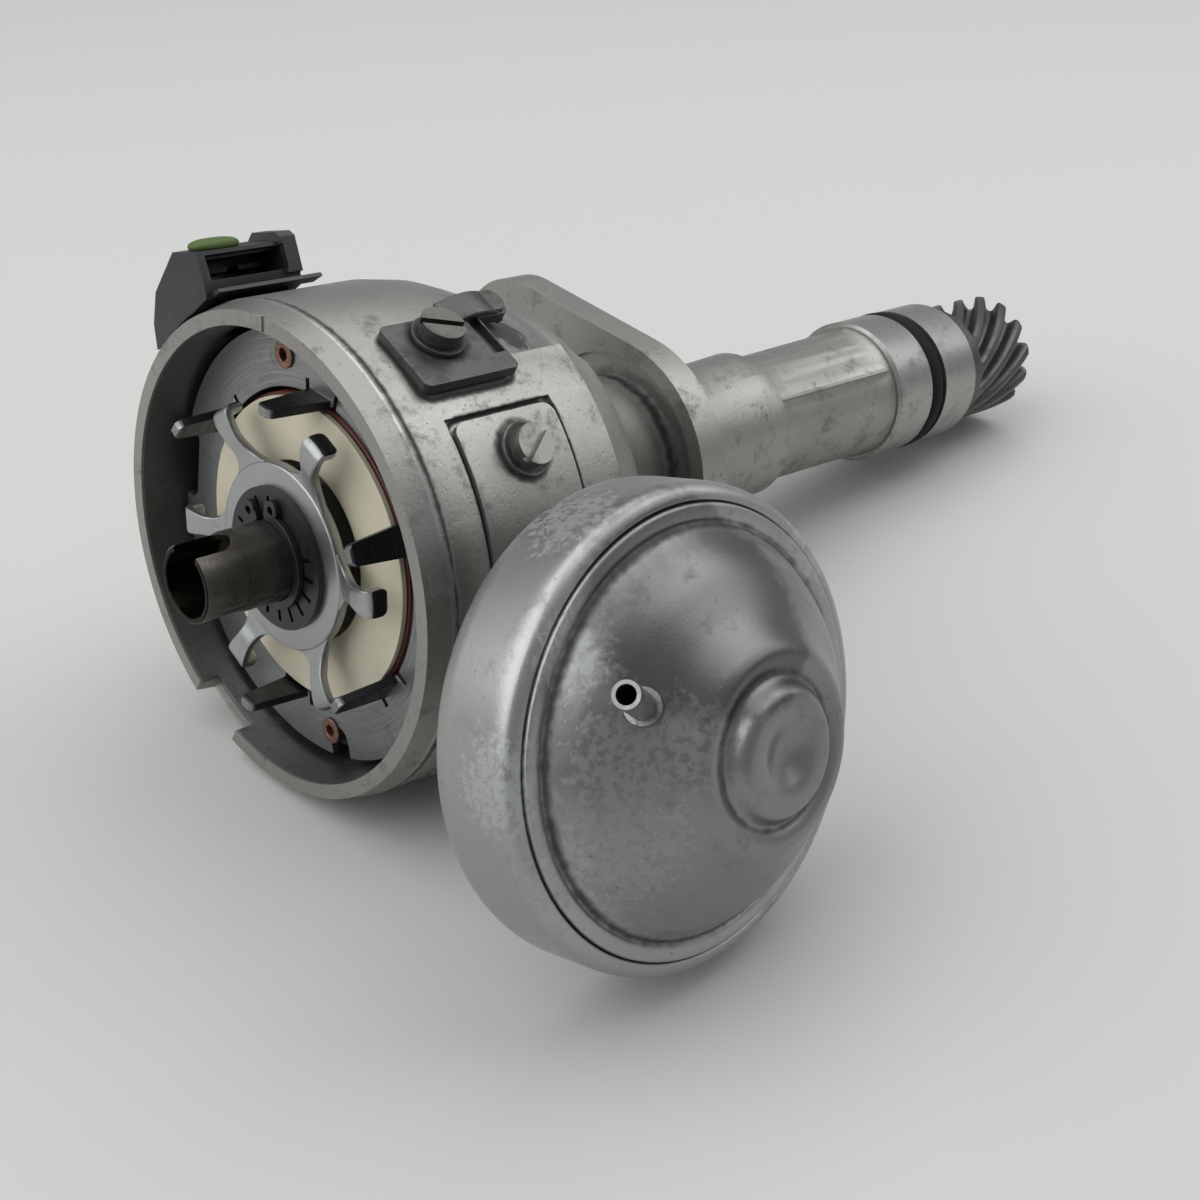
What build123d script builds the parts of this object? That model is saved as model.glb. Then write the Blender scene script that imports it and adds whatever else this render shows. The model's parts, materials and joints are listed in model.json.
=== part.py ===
"""Ignition distributor with centrifugal and vacuum advance and a magnetic pickup.

Millimetres. The drive shaft runs along +X from the cap end to the gear. The origin is on the
shaft, level with the rim that the cap sits on. The vacuum unit stands out on the -Y side.
Angles around the shaft are measured from -Y towards +Z.
"""
import os
from math import cos, hypot, pi, radians, sin, sqrt

from build123d import *

# ---- housing ----
MOUTH_R = 41.3
WALL_R = MOUTH_R + 3.9
RIM_R = MOUTH_R + 2.7
BAND_L = 4.45
LEDGE_X = 24.5
FLOOR_X = 50.0
BOWL_L = FLOOR_X + 6.2
BOWL_END_R = WALL_R - 7.6
BOWL_BACK_R = BOWL_END_R - 4.6
NECK_R = 18.0
FLANGE_X = 85.0
FLANGE_T = 7.0
HUB_R = 26.2
FOOT_DIST = 34.8
FOOT_POLAR = 23.7
FOOT_R = 15.7
SLOT_W = 8.6
SLOT_L = 16.0
STEM_R = 14.5
COLLAR_R = 15.8
COLLAR_END_X = 124.0
PILOT_R = 16.6
PILOT_X = 163.7
STEM_END_X = 195.3
GROOVE_X = 176.6
GROOVE_W = 5.7
GROOVE_R = 12.9
POCKET_D = 1.2
NOTCH_W = 13.0
NOTCH_D = 4.3
# ---- shaft line ----
SHAFT_R = 6.35
SPIGOT_R = 5.88
TUBE_BORE_R = 5.94
TUBE_R = 7.27
TUBE_TIP_X = -16.6
TUBE_BAND_L = 8.5
TUBE_BAND_R = 6.98
BUSH_R = 9.45
BUSH_L = 20.0
BUSH_X = 58.0
LOWER_BUSH_L = 25.0
RUN_GAP = 0.06
SEAT_GAP = 0.05
GEAR_R = 14.6
GEAR_ROOT_R = 11.7
GEAR_X = 196.0
GEAR_L = 26.0
GEAR_COLLAR_L = 8.5
TEETH = 13
HELIX_TURN = 2.92
# ---- trigger and pickup ----
ARMS = 6
WHEEL_X = 2.6
WHEEL_RING_R = 17.2
ARM_ANGLE = 5.5
STATOR_X = 9.0
STATOR_T = 1.5
STATOR_R = MOUTH_R - 1.5
STATOR_BORE_R = STATOR_R - 10.5
ARM_TIP_R = STATOR_BORE_R - 1.0
EYELET_DIST = STATOR_R - 4.8
COIL_R = STATOR_BORE_R - 1.4
COIL_BORE_R = COIL_R - 11.5
POST_TIP_X = -3.0
POST_W = 5.2
POST_ANGLE = 25.0
CARRIER_X = 16.6
CARRIER_T = 1.6
BASE_X = 22.5
HUB_TUBE_R = 12.0
# ---- vacuum unit ----
ROD_OFFSET = 24.4
CAN_X = 19.9
CAN_TILT = 16.6
CAN_R = 38.6
CAN_SEAM = 81.0
CAN_DEPTH = 17.7
DOME_H = 18.6
NIPPLE_R = 2.05
NIPPLE_L = 12.0
RETURN_PITCH = 4.2
RETURN_TURNS = 4
# ---- plates and screws ----
CLIP_ANGLE = 66.0
CLIP_X = 20.0
SCREW_ANGLES = (38.0, -50.0)
SCREW_X = 25.5
THREAD_R = 2.0
HEAD_R = 3.6
HEAD_H = 2.6
WASHER_R = 4.8
WASHER_T = 1.0
# ---- connector ----
CONN_X = 2.0
CONN_L = 20.0
# ---- advance ----
PLATE_X = 44.5
PLATE_T = 2.0
WEIGHT_X = 36.5
WEIGHT_T = 7.5
PIVOT_DIST = 19.0
YOKE_X = 31.0
POST_R = 1.2
SPRING_PITCH = 2.2
SPRING_TURNS = 5
POST_Y = 10.0
POST_Z = 17.3
YOKE_POST_Z = 2.5


def radial_plane(theta):
    """Plane through the shaft with local x along the shaft and local y outwards at theta."""
    a = radians(theta)
    return Plane(origin=(0, 0, 0), x_dir=(1, 0, 0), z_dir=(0, -sin(a), -cos(a)))


def tangent_plane(x, theta, radius):
    """Plane touching a cylinder about the shaft, with local x along the shaft."""
    a = radians(theta)
    out = (0, -cos(a), sin(a))
    return Plane(origin=(x, radius * out[1], radius * out[2]), x_dir=(1, 0, 0), z_dir=out)


def rod_plane(along, x=None, across=0.0):
    """Plane square to the pull rod at a distance from the shaft; local y is across the rod."""
    a = radians(CAN_TILT)
    x = CAN_X if x is None else x
    out = across - ROD_OFFSET
    spot = (x, -along * cos(a) + out * sin(a), along * sin(a) + out * cos(a))
    return Plane(origin=spot, x_dir=(1, 0, 0), z_dir=(0, -cos(a), sin(a)))


def can_plane(height):
    """Plane square to the vacuum unit at a height over its seam."""
    return rod_plane(CAN_SEAM + height)


def can_side():
    """Plane holding the vacuum unit's axis; local x is radial and local y runs along it."""
    base = can_plane(0)
    return Plane(origin=base.origin, x_dir=(1, 0, 0), z_dir=tuple(-base.y_dir))


def rod_face(x):
    """Plane facing +X at x; local x runs out along the pull rod and local y across it."""
    a = radians(CAN_TILT)
    return Plane(origin=(x, 0, 0), x_dir=(0, -cos(a), sin(a)), z_dir=(-1, 0, 0))


CAN_AXIS = Axis(can_plane(0).origin, can_plane(0).z_dir)

# ================= housing =================
with BuildPart() as housing:
    with BuildSketch(Plane.XZ):
        with BuildLine():
            Polyline(
                (0, MOUTH_R), (0, RIM_R), (BAND_L, WALL_R - 0.2), (BAND_L + 0.7, WALL_R),
                (28.0, WALL_R), (35.5, WALL_R - 1.1), (40.0, WALL_R - 2.7),
                (44.6, WALL_R - 4.6), (48.4, BOWL_END_R + 1.4), (FLOOR_X, BOWL_END_R + 0.4),
                (BOWL_L - 1.2, BOWL_END_R), (BOWL_L, BOWL_END_R - 1.2),
                (BOWL_L, BOWL_BACK_R), (BOWL_L + 2.0, BOWL_BACK_R - 2.8),
                (BOWL_L + 5.0, NECK_R + 9.0), (BOWL_L + 9.0, NECK_R + 4.9),
                (BOWL_L + 14.0, NECK_R + 2.2), (BOWL_L + 20.0, NECK_R + 0.7),
                (FLANGE_X, NECK_R), (FLANGE_X + FLANGE_T, NECK_R),
                (FLANGE_X + FLANGE_T + 2.0, COLLAR_R + 0.2), (109.0, COLLAR_R - 0.3),
                (COLLAR_END_X, COLLAR_R + 0.3), (COLLAR_END_X + 2.0, STEM_R - 0.3),
                (PILOT_X - 1.5, STEM_R + 0.3), (PILOT_X, STEM_R + 0.9),
                (PILOT_X, PILOT_R - 0.6), (PILOT_X + 0.9, PILOT_R), (GROOVE_X, PILOT_R),
                (GROOVE_X, GROOVE_R), (GROOVE_X + GROOVE_W, GROOVE_R),
                (GROOVE_X + GROOVE_W, PILOT_R), (STEM_END_X - 0.8, PILOT_R),
                (STEM_END_X, PILOT_R - 0.8), (STEM_END_X, BUSH_R + SEAT_GAP),
                (STEM_END_X - LOWER_BUSH_L - 2.0, BUSH_R + SEAT_GAP),
                (STEM_END_X - LOWER_BUSH_L - 2.0, SHAFT_R + 2.2),
                (BUSH_X + BUSH_L, SHAFT_R + 2.2), (BUSH_X + BUSH_L, BUSH_R + SEAT_GAP),
                (BUSH_X, BUSH_R + SEAT_GAP), (BUSH_X, BUSH_R + 1.6),
                (FLOOR_X, BUSH_R + 1.6), (FLOOR_X, BOWL_BACK_R), (FLOOR_X - 4.0, BOWL_BACK_R + 2.0),
                (LEDGE_X + 6.0, MOUTH_R - 3.3), (LEDGE_X, MOUTH_R - 3.3), (LEDGE_X, MOUTH_R),
                (0, MOUTH_R))
        make_face()
    revolve(axis=Axis.X)
    # thick sector that carries the vacuum unit
    with BuildSketch(radial_plane(60.0)):
        with BuildLine():
            Polyline((26.0, WALL_R - 3.2), (26.0, WALL_R), (45.0, WALL_R), (BOWL_L, BOWL_END_R),
                     (FLOOR_X + 0.2, BOWL_END_R - 1.0), (40.0, WALL_R - 5.2),
                     (26.0, WALL_R - 3.2))
        make_face()
    revolve(axis=Axis.X, revolution_arc=135.0)
    # flange and its foot
    with BuildSketch(Plane.YZ.offset(FLANGE_X)):
        Circle(HUB_R)
        with PolarLocations(FOOT_DIST, 1, start_angle=FOOT_POLAR):
            Circle(FOOT_R)
        make_hull()
        Circle(BUSH_R + 1.0, mode=Mode.SUBTRACT)
    extrude(amount=FLANGE_T)
    with BuildSketch(Plane.YZ.offset(FLANGE_X - 1.0)):
        with PolarLocations(FOOT_DIST, 1, start_angle=FOOT_POLAR):
            SlotOverall(SLOT_L, SLOT_W, rotation=90)
    extrude(amount=FLANGE_T + 2.0, mode=Mode.SUBTRACT)
    with BuildSketch(Plane.YZ.offset(FLANGE_X)):
        Circle(HUB_R - 3.3)
        Circle(NECK_R, mode=Mode.SUBTRACT)
    extrude(amount=1.6, mode=Mode.SUBTRACT)
    # parting line left by the die along the stem
    with BuildSketch(radial_plane(40.0)):
        with Locations(((COLLAR_END_X + PILOT_X) / 2 + 1.0, STEM_R - 0.2)):
            Rectangle(PILOT_X - COLLAR_END_X, 1.6)
    extrude(amount=0.4, both=True)
    # pocket for the vacuum unit's foot
    with BuildSketch(radial_plane(48.5)):
        with Locations((24.5, WALL_R)):
            Rectangle(23.0, 2 * POCKET_D)
    revolve(axis=Axis.X, revolution_arc=108.5, mode=Mode.SUBTRACT)
    # key notch and timing tick in the rim
    with BuildSketch(radial_plane(-113.5)):
        with Locations((0, WALL_R)):
            Rectangle(2 * NOTCH_D, 14.0)
    extrude(amount=NOTCH_W / 2, both=True, mode=Mode.SUBTRACT)
    with BuildSketch(radial_plane(92.0)):
        with Locations((0, WALL_R - 1.0)):
            Rectangle(0.7, 5.6)
    extrude(amount=0.45, both=True, mode=Mode.SUBTRACT)
    # window for the pull rod, window for the pickup lead
    with BuildSketch(rod_plane(WALL_R - 15.2, x=19.6)):
        Rectangle(5.4, 9.0)
    extrude(amount=18.0, mode=Mode.SUBTRACT)
    with BuildSketch(tangent_plane(12.5, 127.0, WALL_R - 9.2)):
        Rectangle(7.0, 5.0)
    extrude(amount=12.0, mode=Mode.SUBTRACT)
    # threaded holes and the small spot face
    with BuildSketch(tangent_plane(CLIP_X, CLIP_ANGLE, WALL_R - 9.2)):
        Circle(THREAD_R + SEAT_GAP)
    extrude(amount=12.0, mode=Mode.SUBTRACT)
    with BuildSketch(tangent_plane(SCREW_X, SCREW_ANGLES[0], WALL_R - 9.2)):
        Circle(THREAD_R + SEAT_GAP)
    extrude(amount=12.0, mode=Mode.SUBTRACT)
    with BuildSketch(tangent_plane(SCREW_X, SCREW_ANGLES[1], WALL_R - 9.2)):
        Circle(THREAD_R + SEAT_GAP)
    extrude(amount=12.0, mode=Mode.SUBTRACT)
    with BuildSketch(tangent_plane(40.5, 78.0, WALL_R - 3.6)):
        Circle(3.2)
    extrude(amount=6.0, mode=Mode.SUBTRACT)

with BuildPart() as upper_bush:
    with BuildSketch(Plane.YZ.offset(BUSH_X + 0.1)):
        Circle(BUSH_R)
        Circle(SHAFT_R + RUN_GAP, mode=Mode.SUBTRACT)
    extrude(amount=BUSH_L - 0.1)
    chamfer(upper_bush.faces().sort_by(Axis.X)[0].edges().sort_by(SortBy.RADIUS)[-1], 0.6)

with BuildPart() as lower_bush:
    with BuildSketch(Plane.YZ.offset(STEM_END_X - LOWER_BUSH_L - 2.0)):
        Circle(BUSH_R)
        Circle(SHAFT_R + RUN_GAP, mode=Mode.SUBTRACT)
    extrude(amount=LOWER_BUSH_L)
    chamfer(lower_bush.faces().sort_by(Axis.X)[-1].edges().sort_by(SortBy.RADIUS)[-1], 0.6)

with BuildPart() as stem_o_ring:
    with BuildSketch(Plane.XZ) as ring_section:
        with Locations((GROOVE_X + GROOVE_W / 2, (GROOVE_R + PILOT_R) / 2 + 0.1)):
            Rectangle(GROOVE_W - 0.5, PILOT_R - GROOVE_R + 0.1)
        chamfer(ring_section.vertices(), 1.1)
    revolve(axis=Axis.X)

# ================= drive shaft and gear =================
with BuildPart() as drive_shaft:
    with BuildSketch(Plane.XZ):
        with BuildLine():
            Polyline(
                (-4.0, 0), (-4.0, SPIGOT_R - 0.4), (-3.6, SPIGOT_R), (PLATE_X - 2.0, SPIGOT_R),
                (PLATE_X - 2.0, SHAFT_R), (GEAR_X + GEAR_L - 0.8, SHAFT_R),
                (GEAR_X + GEAR_L, SHAFT_R - 0.8), (GEAR_X + GEAR_L, 0), (-4.0, 0))
        make_face()
    revolve(axis=Axis.X)
    with BuildSketch(Plane.XY):
        with Locations((GEAR_X + 4.2, 0)):
            Circle(1.75)
    extrude(amount=SHAFT_R + 1.0, both=True, mode=Mode.SUBTRACT)
    with BuildSketch(Plane.YZ.offset(GEAR_X + GEAR_L)):
        Circle(1.6)
    extrude(amount=-2.0, mode=Mode.SUBTRACT, taper=30.0)

with BuildPart() as drive_gear:
    with BuildSketch(Plane.YZ.offset(GEAR_X)):
        Circle(GEAR_R)
        Circle(SHAFT_R + SEAT_GAP, mode=Mode.SUBTRACT)
    extrude(amount=GEAR_COLLAR_L)
    with BuildSketch(Plane.XY):
        with Locations((GEAR_X + 4.2, 0)):
            Circle(1.75)
    extrude(amount=GEAR_R + 1.0, both=True, mode=Mode.SUBTRACT)
    with BuildSketch(Plane.YZ.offset(GEAR_X + GEAR_COLLAR_L - 1.0)) as gear_section:
        RegularPolygon(GEAR_R, 2 * TEETH)
        with PolarLocations(0, TEETH, start_angle=88.0):
            Polygon((GEAR_ROOT_R, -0.9), (GEAR_R + 1.0, -2.5), (GEAR_R + 1.0, 2.5),
                    (GEAR_ROOT_R, 0.9), align=None, mode=Mode.SUBTRACT)
        Circle(SHAFT_R + SEAT_GAP, mode=Mode.SUBTRACT)
    add(Solid.extrude_linear_with_rotation(
        gear_section.sketch.faces()[0], (GEAR_X + GEAR_COLLAR_L - 1.0, 0, 0),
        (GEAR_L - GEAR_COLLAR_L + 1.0, 0, 0), -HELIX_TURN * (GEAR_L - GEAR_COLLAR_L + 1.0)))

with BuildPart() as gear_pin:
    with BuildSketch(Plane.XY):
        with Locations((GEAR_X + 4.2, 0)):
            Circle(1.7)
    extrude(amount=GEAR_R - 0.6, both=True)
    chamfer(gear_pin.edges().filter_by(GeomType.CIRCLE), 0.3)

with BuildPart() as lower_thrust_washer:
    with BuildSketch(Plane.YZ.offset(STEM_END_X + 0.05)):
        Circle(GEAR_R - 2.2)
        Circle(SHAFT_R + 0.15, mode=Mode.SUBTRACT)
    extrude(amount=GEAR_X - STEM_END_X - 0.1)

with BuildPart() as upper_thrust_washer:
    with BuildSketch(Plane.YZ.offset(BUSH_X - 1.4)):
        Circle(BUSH_R)
        Circle(SHAFT_R + 0.1, mode=Mode.SUBTRACT)
    extrude(amount=1.3)

# ================= centrifugal advance =================
with BuildPart() as weight_plate:
    with BuildSketch(Plane.YZ.offset(PLATE_X)):
        SlotOverall(2 * PIVOT_DIST + 15.0, 27.0, rotation=90)
        Circle(SHAFT_R + SEAT_GAP, mode=Mode.SUBTRACT)
        with Locations((0, PIVOT_DIST), (0, -PIVOT_DIST)):
            Circle(2.0 + SEAT_GAP, mode=Mode.SUBTRACT)
        with Locations((-POST_Y, POST_Z), (POST_Y, -POST_Z)):
            Circle(POST_R + SEAT_GAP, mode=Mode.SUBTRACT)
    extrude(amount=PLATE_T)
    with BuildSketch(Plane.YZ.offset(PLATE_X + PLATE_T)):
        Circle(BUSH_R - 0.4)
        Circle(SHAFT_R + SEAT_GAP, mode=Mode.SUBTRACT)
    extrude(amount=BUSH_X - 1.5 - PLATE_X - PLATE_T)

with BuildPart() as weight_pivot_pins:
    with BuildSketch(Plane.YZ.offset(YOKE_X - 1.0)):
        with Locations((0, PIVOT_DIST), (0, -PIVOT_DIST)):
            Circle(2.0)
    extrude(amount=PLATE_X + PLATE_T - YOKE_X + 1.0)
    with BuildSketch(Plane.YZ.offset(YOKE_X - 4.0)):
        with Locations((-POST_Y, POST_Z), (POST_Y, -POST_Z)):
            Circle(POST_R)
    extrude(amount=PLATE_X + PLATE_T - YOKE_X + 4.0)
    with BuildSketch(Plane.YZ.offset(WEIGHT_X - 1.6)):
        with Locations((0, PIVOT_DIST), (0, -PIVOT_DIST)):
            Circle(3.4)
    extrude(amount=1.2)

with BuildPart() as flyweight_a:
    with BuildSketch(Plane.YZ.offset(WEIGHT_X)):
        with BuildLine():
            CenterArc((0, 0), 25.0, -52.0, 138.0)
            CenterArc((0, 0), 11.0, -52.0, 138.0)
            Line(25.0 * Vector(cos(radians(86)), sin(radians(86))),
                 11.0 * Vector(cos(radians(86)), sin(radians(86))))
            Line(25.0 * Vector(cos(radians(-52)), sin(radians(-52))),
                 11.0 * Vector(cos(radians(-52)), sin(radians(-52))))
        make_face()
        with Locations((0, PIVOT_DIST)):
            Circle(5.2)
        with Locations((0, PIVOT_DIST)):
            Circle(2.0 + RUN_GAP, mode=Mode.SUBTRACT)
    extrude(amount=WEIGHT_T)

with BuildPart() as flyweight_b:
    add(flyweight_a.part.rotate(Axis.X, 180.0))

with BuildPart() as advance_spring_a:
    with BuildLine():
        turns = [Vector(YOKE_X - 2.4 + 1.8 * cos(k * pi / 4), 1.8 * sin(k * pi / 4) - POST_Y,
                        YOKE_POST_Z + POST_R + 0.5 + SPRING_PITCH * k / 8)
                 for k in range(8 * SPRING_TURNS + 1)]
        Polyline(*turns)
    with BuildSketch(Plane(origin=turns[0], z_dir=turns[1] - turns[0])):
        Rectangle(0.6, 0.6)
    sweep(transition=Transition.RIGHT)

with BuildPart() as advance_spring_b:
    add(advance_spring_a.part.rotate(Axis.X, 180.0))

# ================= rotor =================
with BuildPart() as rotor_shaft:
    with BuildSketch(Plane.XZ):
        with BuildLine():
            Polyline(
                (TUBE_TIP_X, TUBE_BORE_R + 0.2), (TUBE_TIP_X, TUBE_BAND_R - 0.3),
                (TUBE_TIP_X + 0.3, TUBE_BAND_R), (TUBE_TIP_X + TUBE_BAND_L, TUBE_BAND_R),
                (TUBE_TIP_X + TUBE_BAND_L, TUBE_R), (YOKE_X, TUBE_R), (YOKE_X, 11.0),
                (YOKE_X + 3.0, 11.0), (YOKE_X + 3.0, TUBE_R + 0.6),
                (PLATE_X - 2.3, TUBE_R + 0.6), (PLATE_X - 2.3, TUBE_BORE_R),
                (TUBE_TIP_X + 0.2, TUBE_BORE_R), (TUBE_TIP_X, TUBE_BORE_R + 0.2))
        make_face()
    revolve(axis=Axis.X)
    with BuildSketch(Plane.YZ.offset(YOKE_X)):
        SlotOverall(33.0, 9.0, rotation=0)
        Circle(TUBE_R - 0.3, mode=Mode.SUBTRACT)
    extrude(amount=3.0)
    with BuildSketch(Plane.YZ.offset(YOKE_X - 4.0)):
        with Locations((-POST_Y, YOKE_POST_Z), (POST_Y, -YOKE_POST_Z)):
            Circle(POST_R)
    extrude(amount=5.0)
    with BuildSketch(Plane.XY.offset(TUBE_BORE_R - 1.4)):
        with Locations((TUBE_TIP_X, 0)):
            SlotOverall(2 * TUBE_BAND_L, 6.4)
    extrude(amount=6.0, mode=Mode.SUBTRACT)

with BuildPart() as trigger_wheel:
    # dished disc whose arms rise towards the mouth and end in bent tips
    with BuildSketch(Plane.XZ):
        with BuildLine():
            Polyline(
                (WHEEL_X, TUBE_R + SEAT_GAP), (WHEEL_X, WHEEL_RING_R),
                (WHEEL_X - 0.4, WHEEL_RING_R + 2.2), (WHEEL_X - 1.6, WHEEL_RING_R + 5.0),
                (WHEEL_X - 2.2, ARM_TIP_R - 2.8), (WHEEL_X - 2.2, ARM_TIP_R - 0.7),
                (WHEEL_X - 1.5, ARM_TIP_R), (WHEEL_X + 2.2, ARM_TIP_R),
                (WHEEL_X + 2.2, ARM_TIP_R - 1.7), (WHEEL_X - 0.5, ARM_TIP_R - 1.7),
                (WHEEL_X, WHEEL_RING_R + 5.6), (WHEEL_X + 1.4, WHEEL_RING_R + 2.6),
                (WHEEL_X + 2.2, WHEEL_RING_R), (WHEEL_X + 2.2, TUBE_R + 3.8),
                (STATOR_X + 4.6, TUBE_R + 3.8), (STATOR_X + 4.6, TUBE_R + SEAT_GAP),
                (WHEEL_X, TUBE_R + SEAT_GAP))
        make_face()
    revolve(axis=Axis.X)
    with BuildSketch(Plane.YZ.offset(WHEEL_X - 4.0)):
        with PolarLocations(0, ARMS, start_angle=180.0 - ARM_ANGLE + 30.0):
            with BuildLine():
                ThreePointArc((WHEEL_RING_R + 1.4, -5.8), (WHEEL_RING_R - 0.4, 0),
                              (WHEEL_RING_R + 1.4, 5.8))
                Polyline((WHEEL_RING_R + 1.4, 5.8), (WHEEL_RING_R + 3.6, 8.2),
                         (ARM_TIP_R - 1.0, 11.6), (ARM_TIP_R + 2.0, 13.0),
                         (ARM_TIP_R + 6.0, 0), (ARM_TIP_R + 2.0, -13.0),
                         (ARM_TIP_R - 1.0, -11.6), (WHEEL_RING_R + 3.6, -8.2),
                         (WHEEL_RING_R + 1.4, -5.8))
            make_face()
    extrude(amount=STATOR_X, mode=Mode.SUBTRACT)

with BuildPart() as hub_washer:
    with BuildSketch(Plane.YZ.offset(WHEEL_X - 1.2)):
        Circle(TUBE_R + 5.8)
        Circle(TUBE_R + 0.1, mode=Mode.SUBTRACT)
        with PolarLocations(TUBE_R + 2.6, 15, start_angle=160.0, angular_range=300.0):
            Rectangle(3.4, 0.8, mode=Mode.SUBTRACT)
    extrude(amount=1.15)

with BuildPart() as snap_ring:
    with BuildSketch(Plane.YZ.offset(WHEEL_X - 2.4)):
        Circle(TUBE_R + 1.7)
        with PolarLocations(TUBE_R + 2.4, 1, start_angle=50.0):
            Circle(1.8)
        with PolarLocations(TUBE_R + 2.4, 1, start_angle=92.0):
            Circle(1.8)
        with PolarLocations(TUBE_R + 2.0, 1, start_angle=71.0):
            Rectangle(7.0, 2.4, mode=Mode.SUBTRACT)
        Circle(TUBE_R + 0.1, mode=Mode.SUBTRACT)
        with PolarLocations(TUBE_R + 2.4, 1, start_angle=50.0):
            Circle(0.75, mode=Mode.SUBTRACT)
        with PolarLocations(TUBE_R + 2.4, 1, start_angle=92.0):
            Circle(0.75, mode=Mode.SUBTRACT)
    extrude(amount=1.1)

with BuildPart() as felt_wick:
    with BuildSketch(Plane.YZ.offset(-6.4)):
        Circle(TUBE_BORE_R - 0.05)
    extrude(amount=2.2)

# ================= magnetic pickup =================
with BuildPart() as stator_plate:
    with BuildSketch(Plane.YZ.offset(STATOR_X)):
        Circle(STATOR_R)
        Circle(STATOR_BORE_R, mode=Mode.SUBTRACT)
        with PolarLocations(STATOR_R - 1.0, 1, start_angle=180.0 + 74.0):
            SlotOverall(9.5, 5.4, mode=Mode.SUBTRACT)
        with PolarLocations(STATOR_R + 0.5, 1, start_angle=180.0 - 175.0):
            RectangleRounded(9.0, 14.0, 2.0, mode=Mode.SUBTRACT)
        with PolarLocations(STATOR_BORE_R + 0.9, ARMS, start_angle=-POST_ANGLE + 7.4):
            Rectangle(3.2, 1.0, mode=Mode.SUBTRACT)
        with PolarLocations(STATOR_BORE_R + 0.9, ARMS, start_angle=-POST_ANGLE - 7.4):
            Rectangle(3.2, 1.0, mode=Mode.SUBTRACT)
        with PolarLocations(EYELET_DIST, 4, start_angle=180.0 - 103.0):
            Circle(1.75, mode=Mode.SUBTRACT)
    extrude(amount=STATOR_T)
    for post in range(ARMS):
        with BuildSketch(tangent_plane(POST_TIP_X, POST_ANGLE + 60.0 * post,
                                       STATOR_BORE_R - 0.6)):
            Polygon((0, -1.1), (0.9, -1.9), (STATOR_X - POST_TIP_X + STATOR_T, -POST_W / 2 - 0.5),
                    (STATOR_X - POST_TIP_X + STATOR_T, POST_W / 2 + 0.5), (0.9, 1.9), (0, 1.1),
                    align=None)
        extrude(amount=1.6)

with BuildPart() as stator_eyelets:
    with BuildSketch(Plane.YZ.offset(STATOR_X - 0.6)):
        with PolarLocations(EYELET_DIST, 4, start_angle=180.0 - 103.0):
            Circle(2.5)
    extrude(amount=0.55)
    with BuildSketch(Plane.YZ.offset(STATOR_X - 0.6)):
        with PolarLocations(EYELET_DIST, 4, start_angle=180.0 - 103.0):
            Circle(1.7)
    extrude(amount=CARRIER_X + CARRIER_T - STATOR_X + 0.6)
    with BuildSketch(Plane.YZ.offset(STATOR_X - 0.6)):
        with PolarLocations(EYELET_DIST, 4, start_angle=180.0 - 103.0):
            Circle(1.1)
    extrude(amount=30.0, mode=Mode.SUBTRACT)

with BuildPart() as ring_magnet:
    with BuildSketch(Plane.YZ.offset(STATOR_X + STATOR_T + 0.05)):
        Circle(STATOR_R - 1.8)
        Circle(STATOR_BORE_R + 0.9, mode=Mode.SUBTRACT)
        with PolarLocations(EYELET_DIST, 4, start_angle=180.0 - 103.0):
            Circle(1.85, mode=Mode.SUBTRACT)
    extrude(amount=CARRIER_X - STATOR_X - STATOR_T - 0.1)

with BuildPart() as coil_former:
    with BuildSketch(Plane.XZ):
        with BuildLine():
            Polyline(
                (STATOR_X - 1.2, COIL_BORE_R), (STATOR_X - 1.2, COIL_R),
                (STATOR_X - 0.1, COIL_R), (STATOR_X - 0.1, COIL_BORE_R + 1.2),
                (CARRIER_X - 1.2, COIL_BORE_R + 1.2), (CARRIER_X - 1.2, COIL_R + 0.3),
                (CARRIER_X - 0.05, COIL_R + 0.3), (CARRIER_X - 0.05, COIL_BORE_R),
                (STATOR_X - 1.2, COIL_BORE_R))
        make_face()
    revolve(axis=Axis.X)

with BuildPart() as coil_winding:
    with BuildSketch(Plane.XZ) as coil_section:
        with Locations(((STATOR_X + CARRIER_X - 1.3) / 2, (COIL_BORE_R + COIL_R + 1.85) / 2)):
            Rectangle(CARRIER_X - STATOR_X - 1.2, COIL_R - COIL_BORE_R - 0.65)
        chamfer(coil_section.vertices(), 0.5)
    revolve(axis=Axis.X)

with BuildPart() as pickup_carrier:
    with BuildSketch(Plane.YZ.offset(CARRIER_X)):
        Circle(STATOR_R - 1.8)
        Circle(HUB_TUBE_R + RUN_GAP, mode=Mode.SUBTRACT)
        with PolarLocations(EYELET_DIST, 4, start_angle=180.0 - 103.0):
            Circle(1.75, mode=Mode.SUBTRACT)
    extrude(amount=CARRIER_T)
    with BuildSketch(rod_face(CARRIER_X)):
        with Locations((0, -ROD_OFFSET)):
            Circle(1.55)
    extrude(amount=-CARRIER_T, mode=Mode.SUBTRACT)

with BuildPart() as carrier_pin:
    with BuildSketch(rod_face(CARRIER_X)):
        with Locations((0, -ROD_OFFSET)):
            Circle(1.5)
    extrude(amount=-4.8)

with BuildPart() as carrier_pads:
    with BuildSketch(rod_face(CARRIER_X + CARRIER_T)):
        with PolarLocations(STATOR_R - 8.8, 3, start_angle=90.0):
            Circle(2.2)
    extrude(amount=-(BASE_X - CARRIER_X - CARRIER_T - 0.3))

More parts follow.
